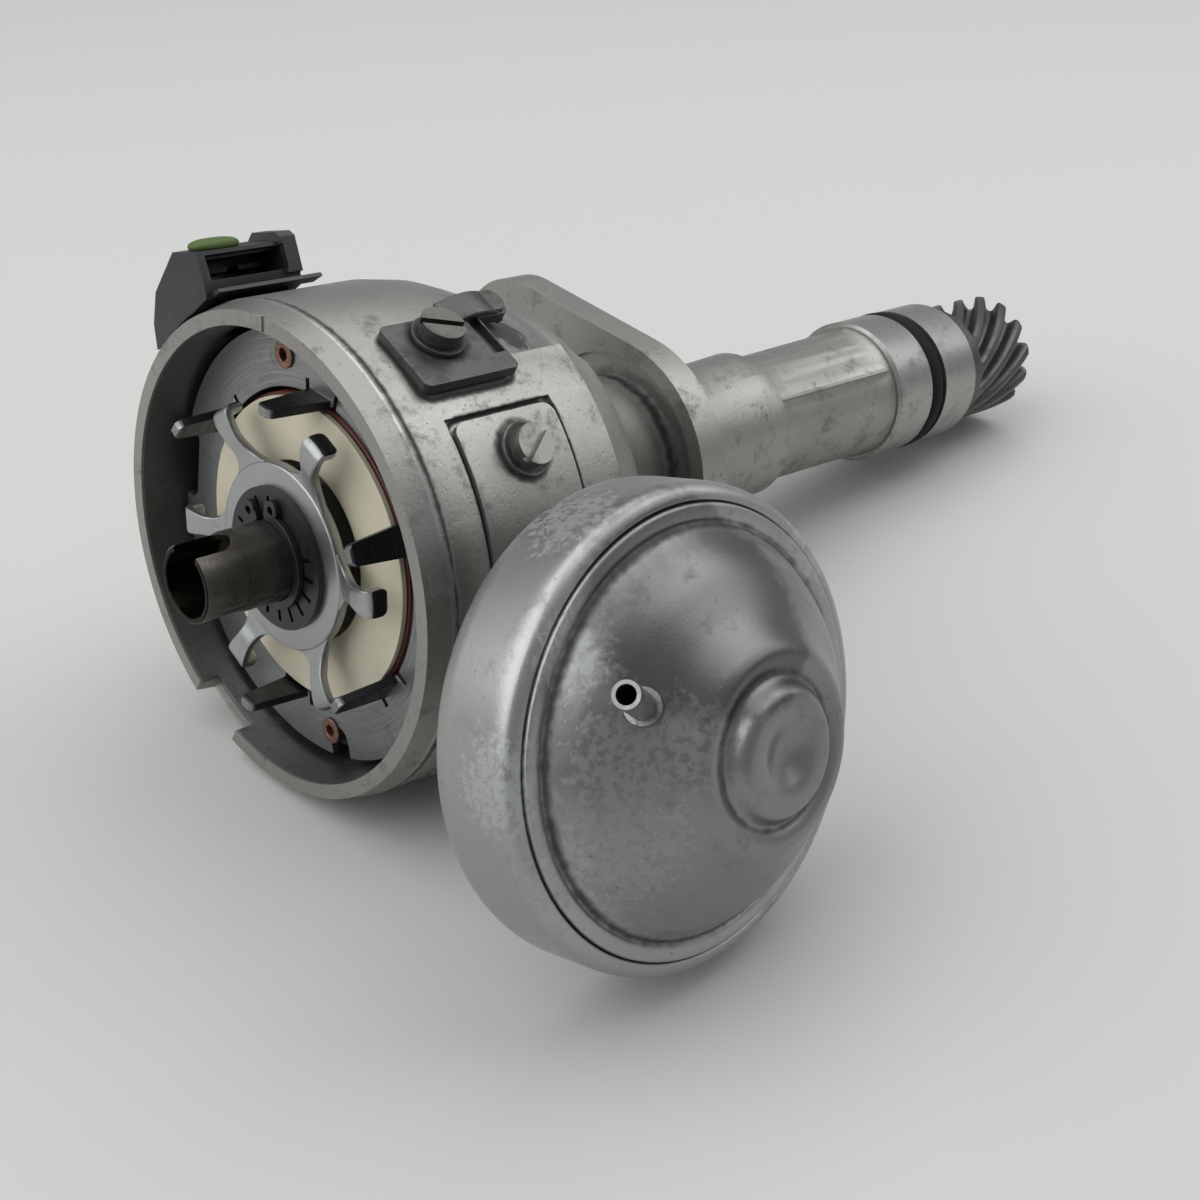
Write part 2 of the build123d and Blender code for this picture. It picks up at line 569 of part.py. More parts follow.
with BuildPart() as base_plate:
    with BuildSketch(Plane.YZ.offset(BASE_X)):
        Circle(MOUTH_R - 0.3)
        Circle(HUB_TUBE_R - 2.0, mode=Mode.SUBTRACT)
        with PolarLocations(MOUTH_R, 1, start_angle=180.0 - SCREW_ANGLES[0]):
            Circle(3.4, mode=Mode.SUBTRACT)
        with PolarLocations(MOUTH_R, 1, start_angle=180.0 - SCREW_ANGLES[1]):
            Circle(3.4, mode=Mode.SUBTRACT)
    extrude(amount=LEDGE_X - BASE_X - 0.05)
    with BuildSketch(Plane.YZ.offset(BASE_X - 7.6)):
        Circle(HUB_TUBE_R)
        Circle(HUB_TUBE_R - 2.0, mode=Mode.SUBTRACT)
    extrude(amount=8.0)

# ================= vacuum unit =================
with BuildPart() as vacuum_bracket:
    with BuildSketch(radial_plane(47.0)):
        with Locations((24.5, WALL_R - POCKET_D + 0.85)):
            Rectangle(21.6, 1.6)
    revolve(axis=Axis.X, revolution_arc=105.5)
    fillet([e for e in vacuum_bracket.edges().filter_by(GeomType.LINE)
            if abs(e.length - 1.6) < 0.01], 2.4)
    with BuildSketch(rod_plane(WALL_R - 14.0)):
        Rectangle(18.0, 20.0)
        Rectangle(14.4, 16.4, mode=Mode.SUBTRACT)
    extrude(amount=CAN_SEAM - CAN_DEPTH - WALL_R + 13.9)
    with BuildSketch(Plane.YZ.offset(CAN_X - 10.0)):
        Circle(WALL_R - POCKET_D + 0.05)
    extrude(amount=20.0, mode=Mode.SUBTRACT)
    with BuildSketch(Plane.YZ.offset(CAN_X - 12.0)):
        Circle(WALL_R + 0.05)
    extrude(amount=12.0 - (CAN_X - 13.05), mode=Mode.SUBTRACT)
    with BuildSketch(rod_plane(WALL_R - 15.2, x=19.6)):
        Rectangle(5.4, 9.0)
    extrude(amount=18.0, mode=Mode.SUBTRACT)
    with BuildSketch(rod_plane(CAN_SEAM - CAN_DEPTH - 1.7)):
        Circle(15.0)
        Circle(7.0, mode=Mode.SUBTRACT)
    extrude(amount=1.6)
    with BuildSketch(tangent_plane(SCREW_X, SCREW_ANGLES[0], WALL_R - 5.2)):
        Circle(THREAD_R + 0.2)
    extrude(amount=9.0, mode=Mode.SUBTRACT)
    with BuildSketch(tangent_plane(SCREW_X, SCREW_ANGLES[1], WALL_R - 5.2)):
        Circle(THREAD_R + 0.2)
    extrude(amount=9.0, mode=Mode.SUBTRACT)

FOOT_TOP = WALL_R - POCKET_D + 1.75
SHANK_FOOT = WALL_R - 5.8
with BuildPart() as bracket_washers:
    for turn in SCREW_ANGLES:
        with BuildSketch(tangent_plane(SCREW_X, turn, FOOT_TOP)):
            Circle(WASHER_R)
            Circle(THREAD_R + 0.15, mode=Mode.SUBTRACT)
        extrude(amount=WASHER_T)

with BuildPart() as bracket_screws:
    for turn in SCREW_ANGLES:
        with BuildSketch(tangent_plane(SCREW_X, turn, SHANK_FOOT)):
            Circle(THREAD_R)
        extrude(amount=FOOT_TOP + WASHER_T + 0.5 - SHANK_FOOT)
        with BuildSketch(tangent_plane(SCREW_X, turn, FOOT_TOP + WASHER_T + 0.05)):
            Circle(HEAD_R)
        extrude(amount=HEAD_H)
        with BuildSketch(tangent_plane(SCREW_X, turn, FOOT_TOP + WASHER_T + HEAD_H)):
            Rectangle(1.1, 2 * HEAD_R + 1.0, rotation=-52.0)
        extrude(amount=-1.1, mode=Mode.SUBTRACT)
        with BuildSketch(tangent_plane(SCREW_X, turn, FOOT_TOP + WASHER_T + HEAD_H)):
            Rectangle(1.1, 2 * HEAD_R + 1.0, rotation=-52.0)
        extrude(amount=1.0, mode=Mode.SUBTRACT)

with BuildPart() as vacuum_cup:
    with BuildSketch(can_side()):
        with BuildLine():
            Polyline(
                (4.5, -CAN_DEPTH), (CAN_R - 3.0, -CAN_DEPTH), (CAN_R - 0.9, -CAN_DEPTH + 0.9),
                (CAN_R, -CAN_DEPTH + 3.0), (CAN_R, -3.0), (CAN_R - 0.4, -1.5),
                (CAN_R - 1.3, -0.4), (CAN_R - 2.2, 0), (CAN_R - 3.0, 0), (CAN_R - 3.0, -1.0),
                (CAN_R - 1.5, -1.0), (CAN_R - 1.5, -3.6), (CAN_R - 2.6, -3.6),
                (CAN_R - 2.6, -CAN_DEPTH + 2.6), (CAN_R - 3.8, -CAN_DEPTH + 1.4),
                (4.5, -CAN_DEPTH + 1.4), (4.5, -CAN_DEPTH))
        make_face()
    revolve(axis=CAN_AXIS)

DOME = (
    (CAN_R - 6.9, 0.9), (0.79 * CAN_R, 2.6), (0.745 * CAN_R, 4.9), (0.68 * CAN_R, 7.2),
    (0.60 * CAN_R, 9.4), (0.52 * CAN_R, 11.7), (0.455 * CAN_R, 14.2), (0.415 * CAN_R, 15.8),
    (0.38 * CAN_R, 16.5), (0.34 * CAN_R, 16.3), (0.30 * CAN_R, 15.5), (0.275 * CAN_R, 16.2),
    (0.25 * CAN_R, DOME_H - 0.6), (0.22 * CAN_R, DOME_H), (0.13 * CAN_R, DOME_H),
    (0.07 * CAN_R, DOME_H - 1.1), (0, DOME_H - 1.5))
with BuildPart() as vacuum_cover:
    with BuildSketch(can_side()):
        with BuildLine():
            Polyline(
                (CAN_R - 1.6, -2.3), (CAN_R - 1.6, -1.1), (CAN_R - 3.1, -1.1),
                (CAN_R - 3.1, 0.3), (CAN_R - 3.5, 0.6), (CAN_R - 5.6, 0.6),
                (CAN_R - 6.2, 0.1), *DOME, (0, DOME_H - 2.9), (0.235 * CAN_R, DOME_H - 2.9),
                (0.26 * CAN_R, 14.3), (0.37 * CAN_R, 15.0), (0.40 * CAN_R, 14.3),
                (0.44 * CAN_R, 12.4), (0.50 * CAN_R, 10.2), (0.585 * CAN_R, 7.9),
                (0.665 * CAN_R, 5.6), (0.72 * CAN_R, 3.6), (0.765 * CAN_R, 1.4),
                (CAN_R - 7.8, -0.6), (CAN_R - 4.4, -0.9), (CAN_R - 4.4, -2.3),
                (CAN_R - 1.6, -2.3))
        make_face()
    revolve(axis=CAN_AXIS)

NIPPLE_BASE = can_plane(9.0).from_local_coords((-0.49 * CAN_R, 0.30 * CAN_R, 0))
NIPPLE_PLANE = Plane(origin=NIPPLE_BASE, z_dir=(-0.730, -0.346, 0.589))
with BuildPart() as hose_nipple:
    with BuildSketch(NIPPLE_PLANE.offset(-2.0)):
        Circle(NIPPLE_R + 0.75)
    extrude(amount=4.2)
    with BuildSketch(NIPPLE_PLANE.offset(0.5)):
        Circle(NIPPLE_R)
    extrude(amount=NIPPLE_L + 0.6)
    with BuildSketch(NIPPLE_PLANE.offset(-3.0)):
        Circle(NIPPLE_R - 0.6)
    extrude(amount=NIPPLE_L + 6.0, mode=Mode.SUBTRACT)
    with BuildSketch(can_side()):
        with BuildLine():
            Polyline((CAN_R - 6.9, -4.0), *DOME, (0, -4.0), (CAN_R - 6.9, -4.0))
        make_face()
    revolve(axis=CAN_AXIS, mode=Mode.SUBTRACT)

with BuildPart() as diaphragm:
    with BuildSketch(can_side()):
        with BuildLine():
            Polyline(
                (CAN_R - 1.65, -3.5), (CAN_R - 1.65, -2.4), (CAN_R - 5.2, -2.4),
                (CAN_R - 8.0, -6.4), (CAN_R - 12.1, -6.4), (CAN_R - 13.2, -4.0),
                (2.2, -4.0), (2.2, -4.9), (CAN_R - 14.0, -4.9), (CAN_R - 13.0, -7.4),
                (CAN_R - 7.2, -7.4), (CAN_R - 4.4, -3.5), (CAN_R - 1.65, -3.5))
        make_face()
    revolve(axis=CAN_AXIS)

with BuildPart() as diaphragm_plates:
    with BuildSketch(can_plane(-3.95)):
        Circle(CAN_R - 15.6)
    extrude(amount=0.9)
    with BuildSketch(can_plane(-4.95)):
        Circle(CAN_R - 15.6)
        Circle(2.1, mode=Mode.SUBTRACT)
    extrude(amount=-0.9)

with BuildPart() as return_spring:
    with BuildLine():
        rings = [can_plane(-2.3 + RETURN_PITCH * k / 10).from_local_coords(
            (5.2 * cos(k * pi / 5), 5.2 * sin(k * pi / 5), 0))
            for k in range(10 * RETURN_TURNS + 1)]
        Polyline(*rings)
    with BuildSketch(Plane(origin=rings[0], z_dir=rings[1] - rings[0])):
        Rectangle(0.9, 0.9)
    sweep(transition=Transition.RIGHT)

with BuildPart() as pull_rod:
    with BuildSketch(rod_face(19.4 - 0.75)):
        with Locations(((CAN_SEAM - 8.0) / 2, -ROD_OFFSET)):
            Rectangle(CAN_SEAM - 8.0, 4.6)
        with Locations((0, -ROD_OFFSET)):
            Circle(4.2)
        with Locations((0, -ROD_OFFSET)):
            Circle(1.5 + 0.35, mode=Mode.SUBTRACT)
    extrude(amount=-1.5)
    with BuildSketch(rod_plane(CAN_SEAM - 12.0)):
        Circle(3.0)
    extrude(amount=12.0 - 5.95)
    with BuildSketch(rod_plane(CAN_SEAM - 6.0)):
        Circle(2.0)
    extrude(amount=2.0)

# ================= connector =================
def connector_plane(x, depth, height, toward=(0, 0.891, -0.454)):
    """Plane in the connector: depth runs in from the mouth and height runs out from the wall."""
    spot = (x, 0.454 * (WALL_R + height) + 0.891 * depth,
            0.891 * (WALL_R + height) - 0.454 * depth)
    return Plane(origin=spot, x_dir=(1, 0, 0), z_dir=toward)


CONN_FACE = Plane(origin=(CONN_X, 0.454 * WALL_R, 0.891 * WALL_R), x_dir=(0, 0.891, -0.454),
                  z_dir=(1, 0, 0))
WALL_LOOP = CONN_FACE.to_local_coords(Vector(CONN_X, 0, 0))
with BuildPart() as connector_body:
    with BuildSketch(CONN_FACE):
        with BuildLine():
            Polyline((7.2, 10.8), (-0.2, 9.1), (-0.4, 3.9), (0.2, 1.1), (21.2, -4.1),
                     (20.0, 0.5), (16.4, 5.6), (7.2, 10.8))
        make_face()
        with Locations((WALL_LOOP.X, WALL_LOOP.Y)):
            Circle(WALL_R + 0.1, mode=Mode.SUBTRACT)
    extrude(amount=CONN_L)
    with BuildSketch(CONN_FACE.offset(CONN_L - 3.2)):
        with BuildLine():
            Polyline((7.1, 12.2), (-0.2, 10.7), (-1.4, 9.6), (-1.2, 3.2), (5.5, 2.5),
                     (17.6, 5.7), (7.1, 12.2))
        make_face()
    extrude(amount=3.2)
    with BuildSketch(CONN_FACE.offset(1.0)):
        with BuildLine():
            Polyline((0.4, 2.2), (-2.6, 2.2), (-3.0, 1.5), (0.4, 1.0), (0.4, 2.2))
        make_face()
        with Locations((WALL_LOOP.X, WALL_LOOP.Y)):
            Circle(WALL_R + 0.1, mode=Mode.SUBTRACT)
    extrude(amount=CONN_L + 1.6)
    with BuildSketch(connector_plane(CONN_X + CONN_L / 2 - 0.6, -2.0, 6.2)):
        Rectangle(CONN_L - 4.4, 4.4)
    extrude(amount=11.0, mode=Mode.SUBTRACT)
    with BuildSketch(CONN_FACE.offset(1.4)):
        with Locations((2.6, 8.4), (4.4, 4.0)):
            Rectangle(0.9, 0.9)
    extrude(amount=CONN_L - 4.0)

with BuildPart() as connector_terminals:
    with BuildSketch(connector_plane(CONN_X + CONN_L / 2 - 0.6, 4.6, 6.2)):
        with GridLocations(7.0, 1.0, 2, 1):
            Rectangle(4.6, 0.8)
    extrude(amount=4.35)

with BuildPart() as connector_seal:
    with BuildSketch(connector_plane(CONN_X + 6.0, 3.3, 10.1, toward=(0, 0.252, 0.968))):
        RectangleRounded(8.0, 5.0, 1.5)
    extrude(amount=1.3)
    with BuildSketch(connector_plane(CONN_X + 6.0, 3.3, 11.3, toward=(0, 0.252, 0.968))):
        RectangleRounded(5.6, 3.6, 1.2)
    extrude(amount=0.7)

# ================= clip bracket =================
CLIP_R = WALL_R + 0.1
with BuildPart() as clip_bracket:
    with BuildSketch(tangent_plane(CLIP_X, CLIP_ANGLE, CLIP_R)):
        with Locations((1.2, -2.2)):
            RectangleRounded(20.0, 14.6, 1.2)
        with Locations((12.0, 5.6)):
            RectangleRounded(12.5, 5.6, 1.6)
        with Locations((7.6, 3.4)):
            Rectangle(4.6, 4.0)
        Circle(THREAD_R + 0.2, mode=Mode.SUBTRACT)
        with Locations((9.6, -1.2)):
            Rectangle(2.4, 8.6, mode=Mode.SUBTRACT)
    extrude(amount=1.8)
    with BuildSketch(tangent_plane(CLIP_X, CLIP_ANGLE, CLIP_R)):
        with Locations((13.6, 5.6)):
            RectangleRounded(8.6, 5.0, 2.0)
    extrude(amount=2.7)

CLIP_TOP = CLIP_R + 1.85
with BuildPart() as clip_washer:
    with BuildSketch(tangent_plane(CLIP_X, CLIP_ANGLE, CLIP_TOP)):
        Circle(WASHER_R)
        Circle(THREAD_R + 0.15, mode=Mode.SUBTRACT)
    extrude(amount=WASHER_T)

with BuildPart() as clip_screw:
    with BuildSketch(tangent_plane(CLIP_X, CLIP_ANGLE, WALL_R - 3.7)):
        Circle(THREAD_R)
    extrude(amount=CLIP_TOP + WASHER_T + 4.2 - WALL_R)
    with BuildSketch(tangent_plane(CLIP_X, CLIP_ANGLE, CLIP_TOP + WASHER_T + 0.05)):
        Circle(HEAD_R + 0.3)
    extrude(amount=HEAD_H)
    with BuildSketch(tangent_plane(CLIP_X, CLIP_ANGLE, CLIP_TOP + WASHER_T + HEAD_H - 1.0)):
        Rectangle(1.2, 2 * HEAD_R + 2.0, rotation=68.0)
    extrude(amount=2.0, mode=Mode.SUBTRACT)

os.makedirs("parts", exist_ok=True)
PIECES = {
    "housing": housing, "upper_bush": upper_bush, "lower_bush": lower_bush,
    "stem_o_ring": stem_o_ring, "drive_shaft": drive_shaft, "drive_gear": drive_gear,
    "gear_pin": gear_pin, "lower_thrust_washer": lower_thrust_washer,
    "upper_thrust_washer": upper_thrust_washer, "weight_plate": weight_plate,
    "weight_pivot_pins": weight_pivot_pins, "flyweight_a": flyweight_a,
    "flyweight_b": flyweight_b, "advance_spring_a": advance_spring_a,
    "advance_spring_b": advance_spring_b, "rotor_shaft": rotor_shaft,
    "trigger_wheel": trigger_wheel, "hub_washer": hub_washer, "snap_ring": snap_ring,
    "felt_wick": felt_wick, "stator_plate": stator_plate, "stator_eyelets": stator_eyelets,
    "ring_magnet": ring_magnet, "coil_former": coil_former, "coil_winding": coil_winding,
    "pickup_carrier": pickup_carrier, "carrier_pin": carrier_pin,
    "carrier_pads": carrier_pads, "base_plate": base_plate,
    "vacuum_bracket": vacuum_bracket, "bracket_washers": bracket_washers,
    "bracket_screws": bracket_screws, "vacuum_cup": vacuum_cup,
    "vacuum_cover": vacuum_cover, "hose_nipple": hose_nipple, "diaphragm": diaphragm,
    "diaphragm_plates": diaphragm_plates, "return_spring": return_spring,
    "pull_rod": pull_rod, "connector_body": connector_body,
    "connector_terminals": connector_terminals, "connector_seal": connector_seal,
    "clip_bracket": clip_bracket, "clip_washer": clip_washer, "clip_screw": clip_screw,
}
for label, piece in PIECES.items():
    piece.part.label = label
    export_step(piece.part, f"parts/{label}.step")
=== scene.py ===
"""Looks of the ignition distributor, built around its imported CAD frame.

In the row frame +X runs along the shaft from the cap rim to the gear, +Z is up as the part
lies, and the vacuum unit stands out on the -Y side. Finishes and shapes are given in
millimetres; sockets inside the shader groups, finished meshes and the stage are in metres.
Angles round the bowl are measured from -Y towards +Z.
"""
import json
import logging
from dataclasses import dataclass
from enum import Enum
from typing import Callable, Optional, Sequence, Union

import bmesh
import bpy
import numpy as np
from mathutils import Matrix, Vector


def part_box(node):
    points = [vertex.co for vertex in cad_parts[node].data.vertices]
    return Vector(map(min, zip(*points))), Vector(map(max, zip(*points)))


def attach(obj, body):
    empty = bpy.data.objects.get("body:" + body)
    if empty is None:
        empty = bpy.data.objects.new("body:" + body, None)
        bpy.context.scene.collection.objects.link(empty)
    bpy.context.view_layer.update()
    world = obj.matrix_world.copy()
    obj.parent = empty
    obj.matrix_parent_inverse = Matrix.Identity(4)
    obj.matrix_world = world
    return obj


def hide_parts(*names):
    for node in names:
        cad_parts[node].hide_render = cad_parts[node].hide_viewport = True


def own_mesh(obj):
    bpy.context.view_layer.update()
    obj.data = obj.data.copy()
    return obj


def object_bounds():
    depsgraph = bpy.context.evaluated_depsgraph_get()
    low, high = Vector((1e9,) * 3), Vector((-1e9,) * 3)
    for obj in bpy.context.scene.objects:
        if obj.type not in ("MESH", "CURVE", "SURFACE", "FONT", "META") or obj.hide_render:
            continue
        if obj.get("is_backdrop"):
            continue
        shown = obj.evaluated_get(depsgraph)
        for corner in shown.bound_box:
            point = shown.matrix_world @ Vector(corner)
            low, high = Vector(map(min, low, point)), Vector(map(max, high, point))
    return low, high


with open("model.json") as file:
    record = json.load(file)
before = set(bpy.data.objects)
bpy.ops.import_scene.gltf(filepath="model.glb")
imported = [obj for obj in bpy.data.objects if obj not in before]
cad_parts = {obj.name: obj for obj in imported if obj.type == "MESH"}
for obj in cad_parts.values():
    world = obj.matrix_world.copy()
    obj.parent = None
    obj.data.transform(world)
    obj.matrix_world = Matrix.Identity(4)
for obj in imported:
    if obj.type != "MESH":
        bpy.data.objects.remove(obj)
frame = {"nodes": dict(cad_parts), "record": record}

logging.basicConfig(level=logging.INFO, format="%(message)s")
LOG = logging.getLogger("distributor")
MM = 0.001
Array = np.ndarray
Pair = tuple[float, float]
Triple = tuple[float, float, float]
Socket = bpy.types.NodeSocket
Sockets = bpy.types.bpy_prop_collection
Feed = Union[float, Sequence[float], Socket]


def dump_size(key: str, sizes: dict[str, list[list[float]]]) -> None:
    """Keeps the shown object's bounds.

    Args:
        key: Name of the moment the bounds are taken.
        sizes: Dictionary that collects the bounds.
    """
    low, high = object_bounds()
    sizes[key] = [list(low), list(high)]


def metres(values: Sequence[float]) -> tuple[float, ...]:
    """Millimetres turned into metres."""
    return tuple(value * MM for value in values)


def opaque(color: Sequence[float]) -> tuple[float, ...]:
    """A colour with full alpha."""
    return (*color, 1.0)


ORIGIN = (0.0, 0.0, 0.0)
ALONG_SHAFT = (1.0, 0.0, 0.0)
# used inside the shader groups, in metres
BRUSH_DEPTH = 0.00005
SPOT_SHAKE = 0.008
WALL_RADIUS = 0.0452
SEAT_CORNER, SEAT_SHAKE, SEAT_CORE = 0.0026, 0.0007, 0.00005
# share of a round patch's reach within which it is full
STAIN_AND_SHADE_CORE, SPOT_CORE, FLAKE_CORE = 0.8, 0.62, 0.3
# how fully grime covers the metal round fixings, and grime with painted shade round plates and
# in round corners
SPOT_DIRT, SEAT_SHADE_AND_DIRT, HOOP_SHADE_AND_DIRT = 0.85, 0.92, 0.94


# ---------------------------------------------------------------- shader building
class Graph:
    """Thin wrapper that adds and links nodes in one node tree."""

    def __init__(self, tree: bpy.types.NodeTree) -> None:
        """Empties a tree and keeps it."""
        self.tree = tree
        tree.nodes.clear()

    def add(self, kind: str, inputs: Optional[dict] = None, **settings) -> bpy.types.Node:
        """Adds a node, sets its properties and feeds its inputs.

        Args:
            kind: Node type without the ShaderNode prefix, or a full type name.
            inputs: Socket name or index to a value or an output socket.
            **settings: Node properties.

        Returns:
            The new node.
        """
        full = kind if kind.startswith(("Node", "Shader")) else "ShaderNode" + kind
        node = self.tree.nodes.new(full)
        for name, value in settings.items():
            setattr(node, name, value)
        for name, value in (inputs or {}).items():
            if isinstance(value, Socket):
                self.tree.links.new(value, node.inputs[name])
            else:
                node.inputs[name].default_value = value
        return node

    def math(self, operation: str, a: Feed, b: Feed = 0.0, clamp: bool = False) -> Socket:
        """Result of one of Blender's math operations, held between 0 and 1 if asked."""
        return self.add("Math", {0: a, 1: b}, operation=operation, use_clamp=clamp).outputs[0]

    def plus(self, a: Feed, b: Feed, clamp: bool = False) -> Socket:
        """Sum of two values, held between 0 and 1 if asked."""
        return self.math("ADD", a, b, clamp)

    def minus(self, a: Feed, b: Feed) -> Socket:
        """First value less the second."""
        return self.math("SUBTRACT", a, b)

    def times(self, a: Feed, b: Feed) -> Socket:
        """Product of two values."""
        return self.math("MULTIPLY", a, b)

    def larger(self, a: Feed, b: Feed) -> Socket:
        """Larger of two values."""
        return self.math("MAXIMUM", a, b)

    def length(self, a: Feed, b: Feed) -> Socket:
        """Root of the sum of two squares."""
        return self.math("SQRT", self.plus(self.times(a, a), self.times(b, b)))

    def between(self, value: Feed, low: Feed, high: Feed) -> Socket:
        """One where a value lies between two bounds, nought elsewhere."""
        return self.times(self.math("GREATER_THAN", value, low),
                          self.math("LESS_THAN", value, high))

    def ramp(self, value: Feed, low: Feed, high: Feed, to_low: float = 0.0,
             to_high: float = 1.0) -> Socket:
        """Maps low and high to two results, with a smooth step between them."""
        return self.add("MapRange", {0: value, 1: low, 2: high, 3: to_low, 4: to_high},
                        interpolation_type="SMOOTHSTEP").outputs[0]

    def mix(self, factor: Feed, a: Feed, b: Feed, blend: str = "MIX") -> Socket:
        """Lays a share of colour b over colour a in one of Blender's blend modes."""
        return self.add("Mix", {"Factor": factor, 6: a, 7: b}, data_type="RGBA",
                        blend_type=blend).outputs[2]

    def vector(self, operation: str, a: Feed, b: Feed, output: str = "Value") -> Socket:
        """Result of one of Blender's vector operations."""
        return self.add("VectorMath", {0: a, 1: b}, operation=operation).outputs[output]

    def split(self, vector: Socket) -> tuple[Socket, Socket, Socket]:
        """The x, y and z of a vector."""
        return tuple(self.add("SeparateXYZ", {0: vector}).outputs)

    def noise(self, vector: Socket, scale: Feed, detail: float, rough: Feed = 0.5) -> Socket:
        """Fractal noise, spread about a half."""
        return self.add("TexNoise", {"Vector": vector, "Scale": scale, "Detail": detail,
                                     "Roughness": rough}).outputs[0]

    def shake(self, vector: Socket, scale: float, detail: float, reach: Feed) -> Socket:
        """Noise about nought, scaled by its reach, that breaks up an edge."""
        return self.times(self.minus(self.noise(vector, scale, detail), 0.5), reach)

    def bump(self, height: Socket, strength: Feed, distance: Feed) -> Socket:
        """Normal of a bumpy surface."""
        return self.add("Bump", {"Height": height, "Strength": strength,
                                 "Distance": distance}).outputs[0]

    def object_space(self) -> Socket:
        """Object coordinates, in metres in the row frame."""
        return self.add("TexCoord").outputs["Object"]


@dataclass
class Group:
    """A reusable shader group made once and shared by all the materials.

    Each has a place in the row frame as its first input, Vector. An input with three numbers
    is a vector and any other a float; the Normal output is a vector, the others are floats.
    """

    name: str
    inputs: dict[str, Feed]
    outputs: tuple[str, ...]
    fill: Callable[[Graph, Sockets], dict[str, Socket]]
    tree: Optional[bpy.types.NodeTree] = None

    def build(self) -> bpy.types.NodeTree:
        """Makes the group's tree on first use.

        Returns:
            The group's tree.
        """
        if self.tree is None:
            self.tree = bpy.data.node_groups.new(self.name, "ShaderNodeTree")
            for label, value in {"Vector": ORIGIN, **self.inputs}.items():
                kind = "NodeSocketVector" if isinstance(value, tuple) else "NodeSocketFloat"
                socket = self.tree.interface.new_socket(label, in_out="INPUT", socket_type=kind)
                socket.default_value = value
            for label in self.outputs:
                kind = "NodeSocketVector" if label == "Normal" else "NodeSocketFloat"
                self.tree.interface.new_socket(label, in_out="OUTPUT", socket_type=kind)
            graph = Graph(self.tree)
            given = graph.add("NodeGroupInput").outputs
            graph.add("NodeGroupOutput", self.fill(graph, given))
        return self.tree

    def use(self, graph: Graph, space: Socket, **inputs: Feed) -> Sockets:
        """Puts the group in a material and gives its output sockets."""
        return graph.add("Group", {"Vector": space, **inputs}, node_tree=self.build()).outputs


def fill_mottle(graph: Graph, given: Sockets) -> dict[str, Socket]:
    """Blotches: fractal noise over the surface, cut at a level with a soft or hard edge.

    Args:
        graph: The group's graph.
        given: Place, and the noise's scale and roughness, the level and its softness.

    Returns:
        The blotches' mask.
    """
    noise = graph.noise(given["Vector"], given["Scale"], 7.0, given["Roughness"])
    low = graph.minus(given["Level"], given["Softness"])
    high = graph.plus(given["Level"], given["Softness"])
    return {"Mask": graph.ramp(noise, low, high)}


def fill_grain(graph: Graph, given: Sockets) -> dict[str, Socket]:
    """Bead-blasted grain: fine noise plus sparse pits, turned into a bump normal.

    Args:
        graph: The group's graph.
        given: Place, scale of the grain, and the bump's strength and distance.

    Returns:
        The grain's normal.
    """
    fine = graph.noise(given["Vector"], given["Scale"], 4.0)
    pits = graph.add("TexVoronoi", {"Vector": given["Vector"],
                                    "Scale": graph.times(given["Scale"], 0.5)})
    dip = graph.ramp(pits.outputs["Distance"], 0.0, 0.35)
    height = graph.plus(fine, graph.times(dip, 0.5))
    return {"Normal": graph.bump(height, given["Strength"], given["Distance"])}


def fill_brush(graph: Graph, given: Sockets) -> dict[str, Socket]:
    """Tool marks: noise that is fine along x and outwards and stretched around the shaft.

    Args:
        graph: The group's graph.
        given: Place, scale across and around the marks, and the bump's strength.

    Returns:
        The marks' value and normal.
    """
    x, y, z = graph.split(given["Vector"])
    space = graph.add("CombineXYZ", {
        0: graph.times(x, given["Fine"]), 1: graph.times(graph.length(y, z), given["Fine"]),
        2: graph.times(graph.math("ARCTAN2", z, y), given["Stretch"])})
    noise = graph.noise(space.outputs[0], 1.0, 4.0)
    return {"Value": noise, "Normal": graph.bump(noise, given["Strength"], BRUSH_DEPTH)}


def fill_spot(graph: Graph, given: Sockets) -> dict[str, Socket]:
    """Round patch: fades out with the distance from a point, broken up by noise.

    Args:
        graph: The group's graph.
        given: Place, centre of the patch, and where it ends and starts to fade.

    Returns:
        The patch's mask.
    """
    away = graph.vector("DISTANCE", given["Vector"], given["Centre"])
    ragged = graph.plus(away, graph.shake(given["Vector"], 420.0, 5.0, SPOT_SHAKE))
    return {"Mask": graph.ramp(ragged, given["Outer"], given["Inner"])}


def fill_band(graph: Graph, given: Sockets) -> dict[str, Socket]:
    """A band, machined or of painted shade or highlight: all between two places along the shaft
    and between two radii.

    Args:
        graph: The group's graph.
        given: Place, low and high end, inner and outer radius, and how ragged the ends are.

    Returns:
        The band's mask.
    """
    x, y, z = graph.split(given["Vector"])
    along = graph.plus(x, graph.shake(given["Vector"], 900.0, 2.0, given["Rag"]))
    ring = graph.between(graph.length(y, z), given["Inner"], given["Outer"])
    return {"Mask": graph.times(ring, graph.between(along, given["Low"], given["High"]))}


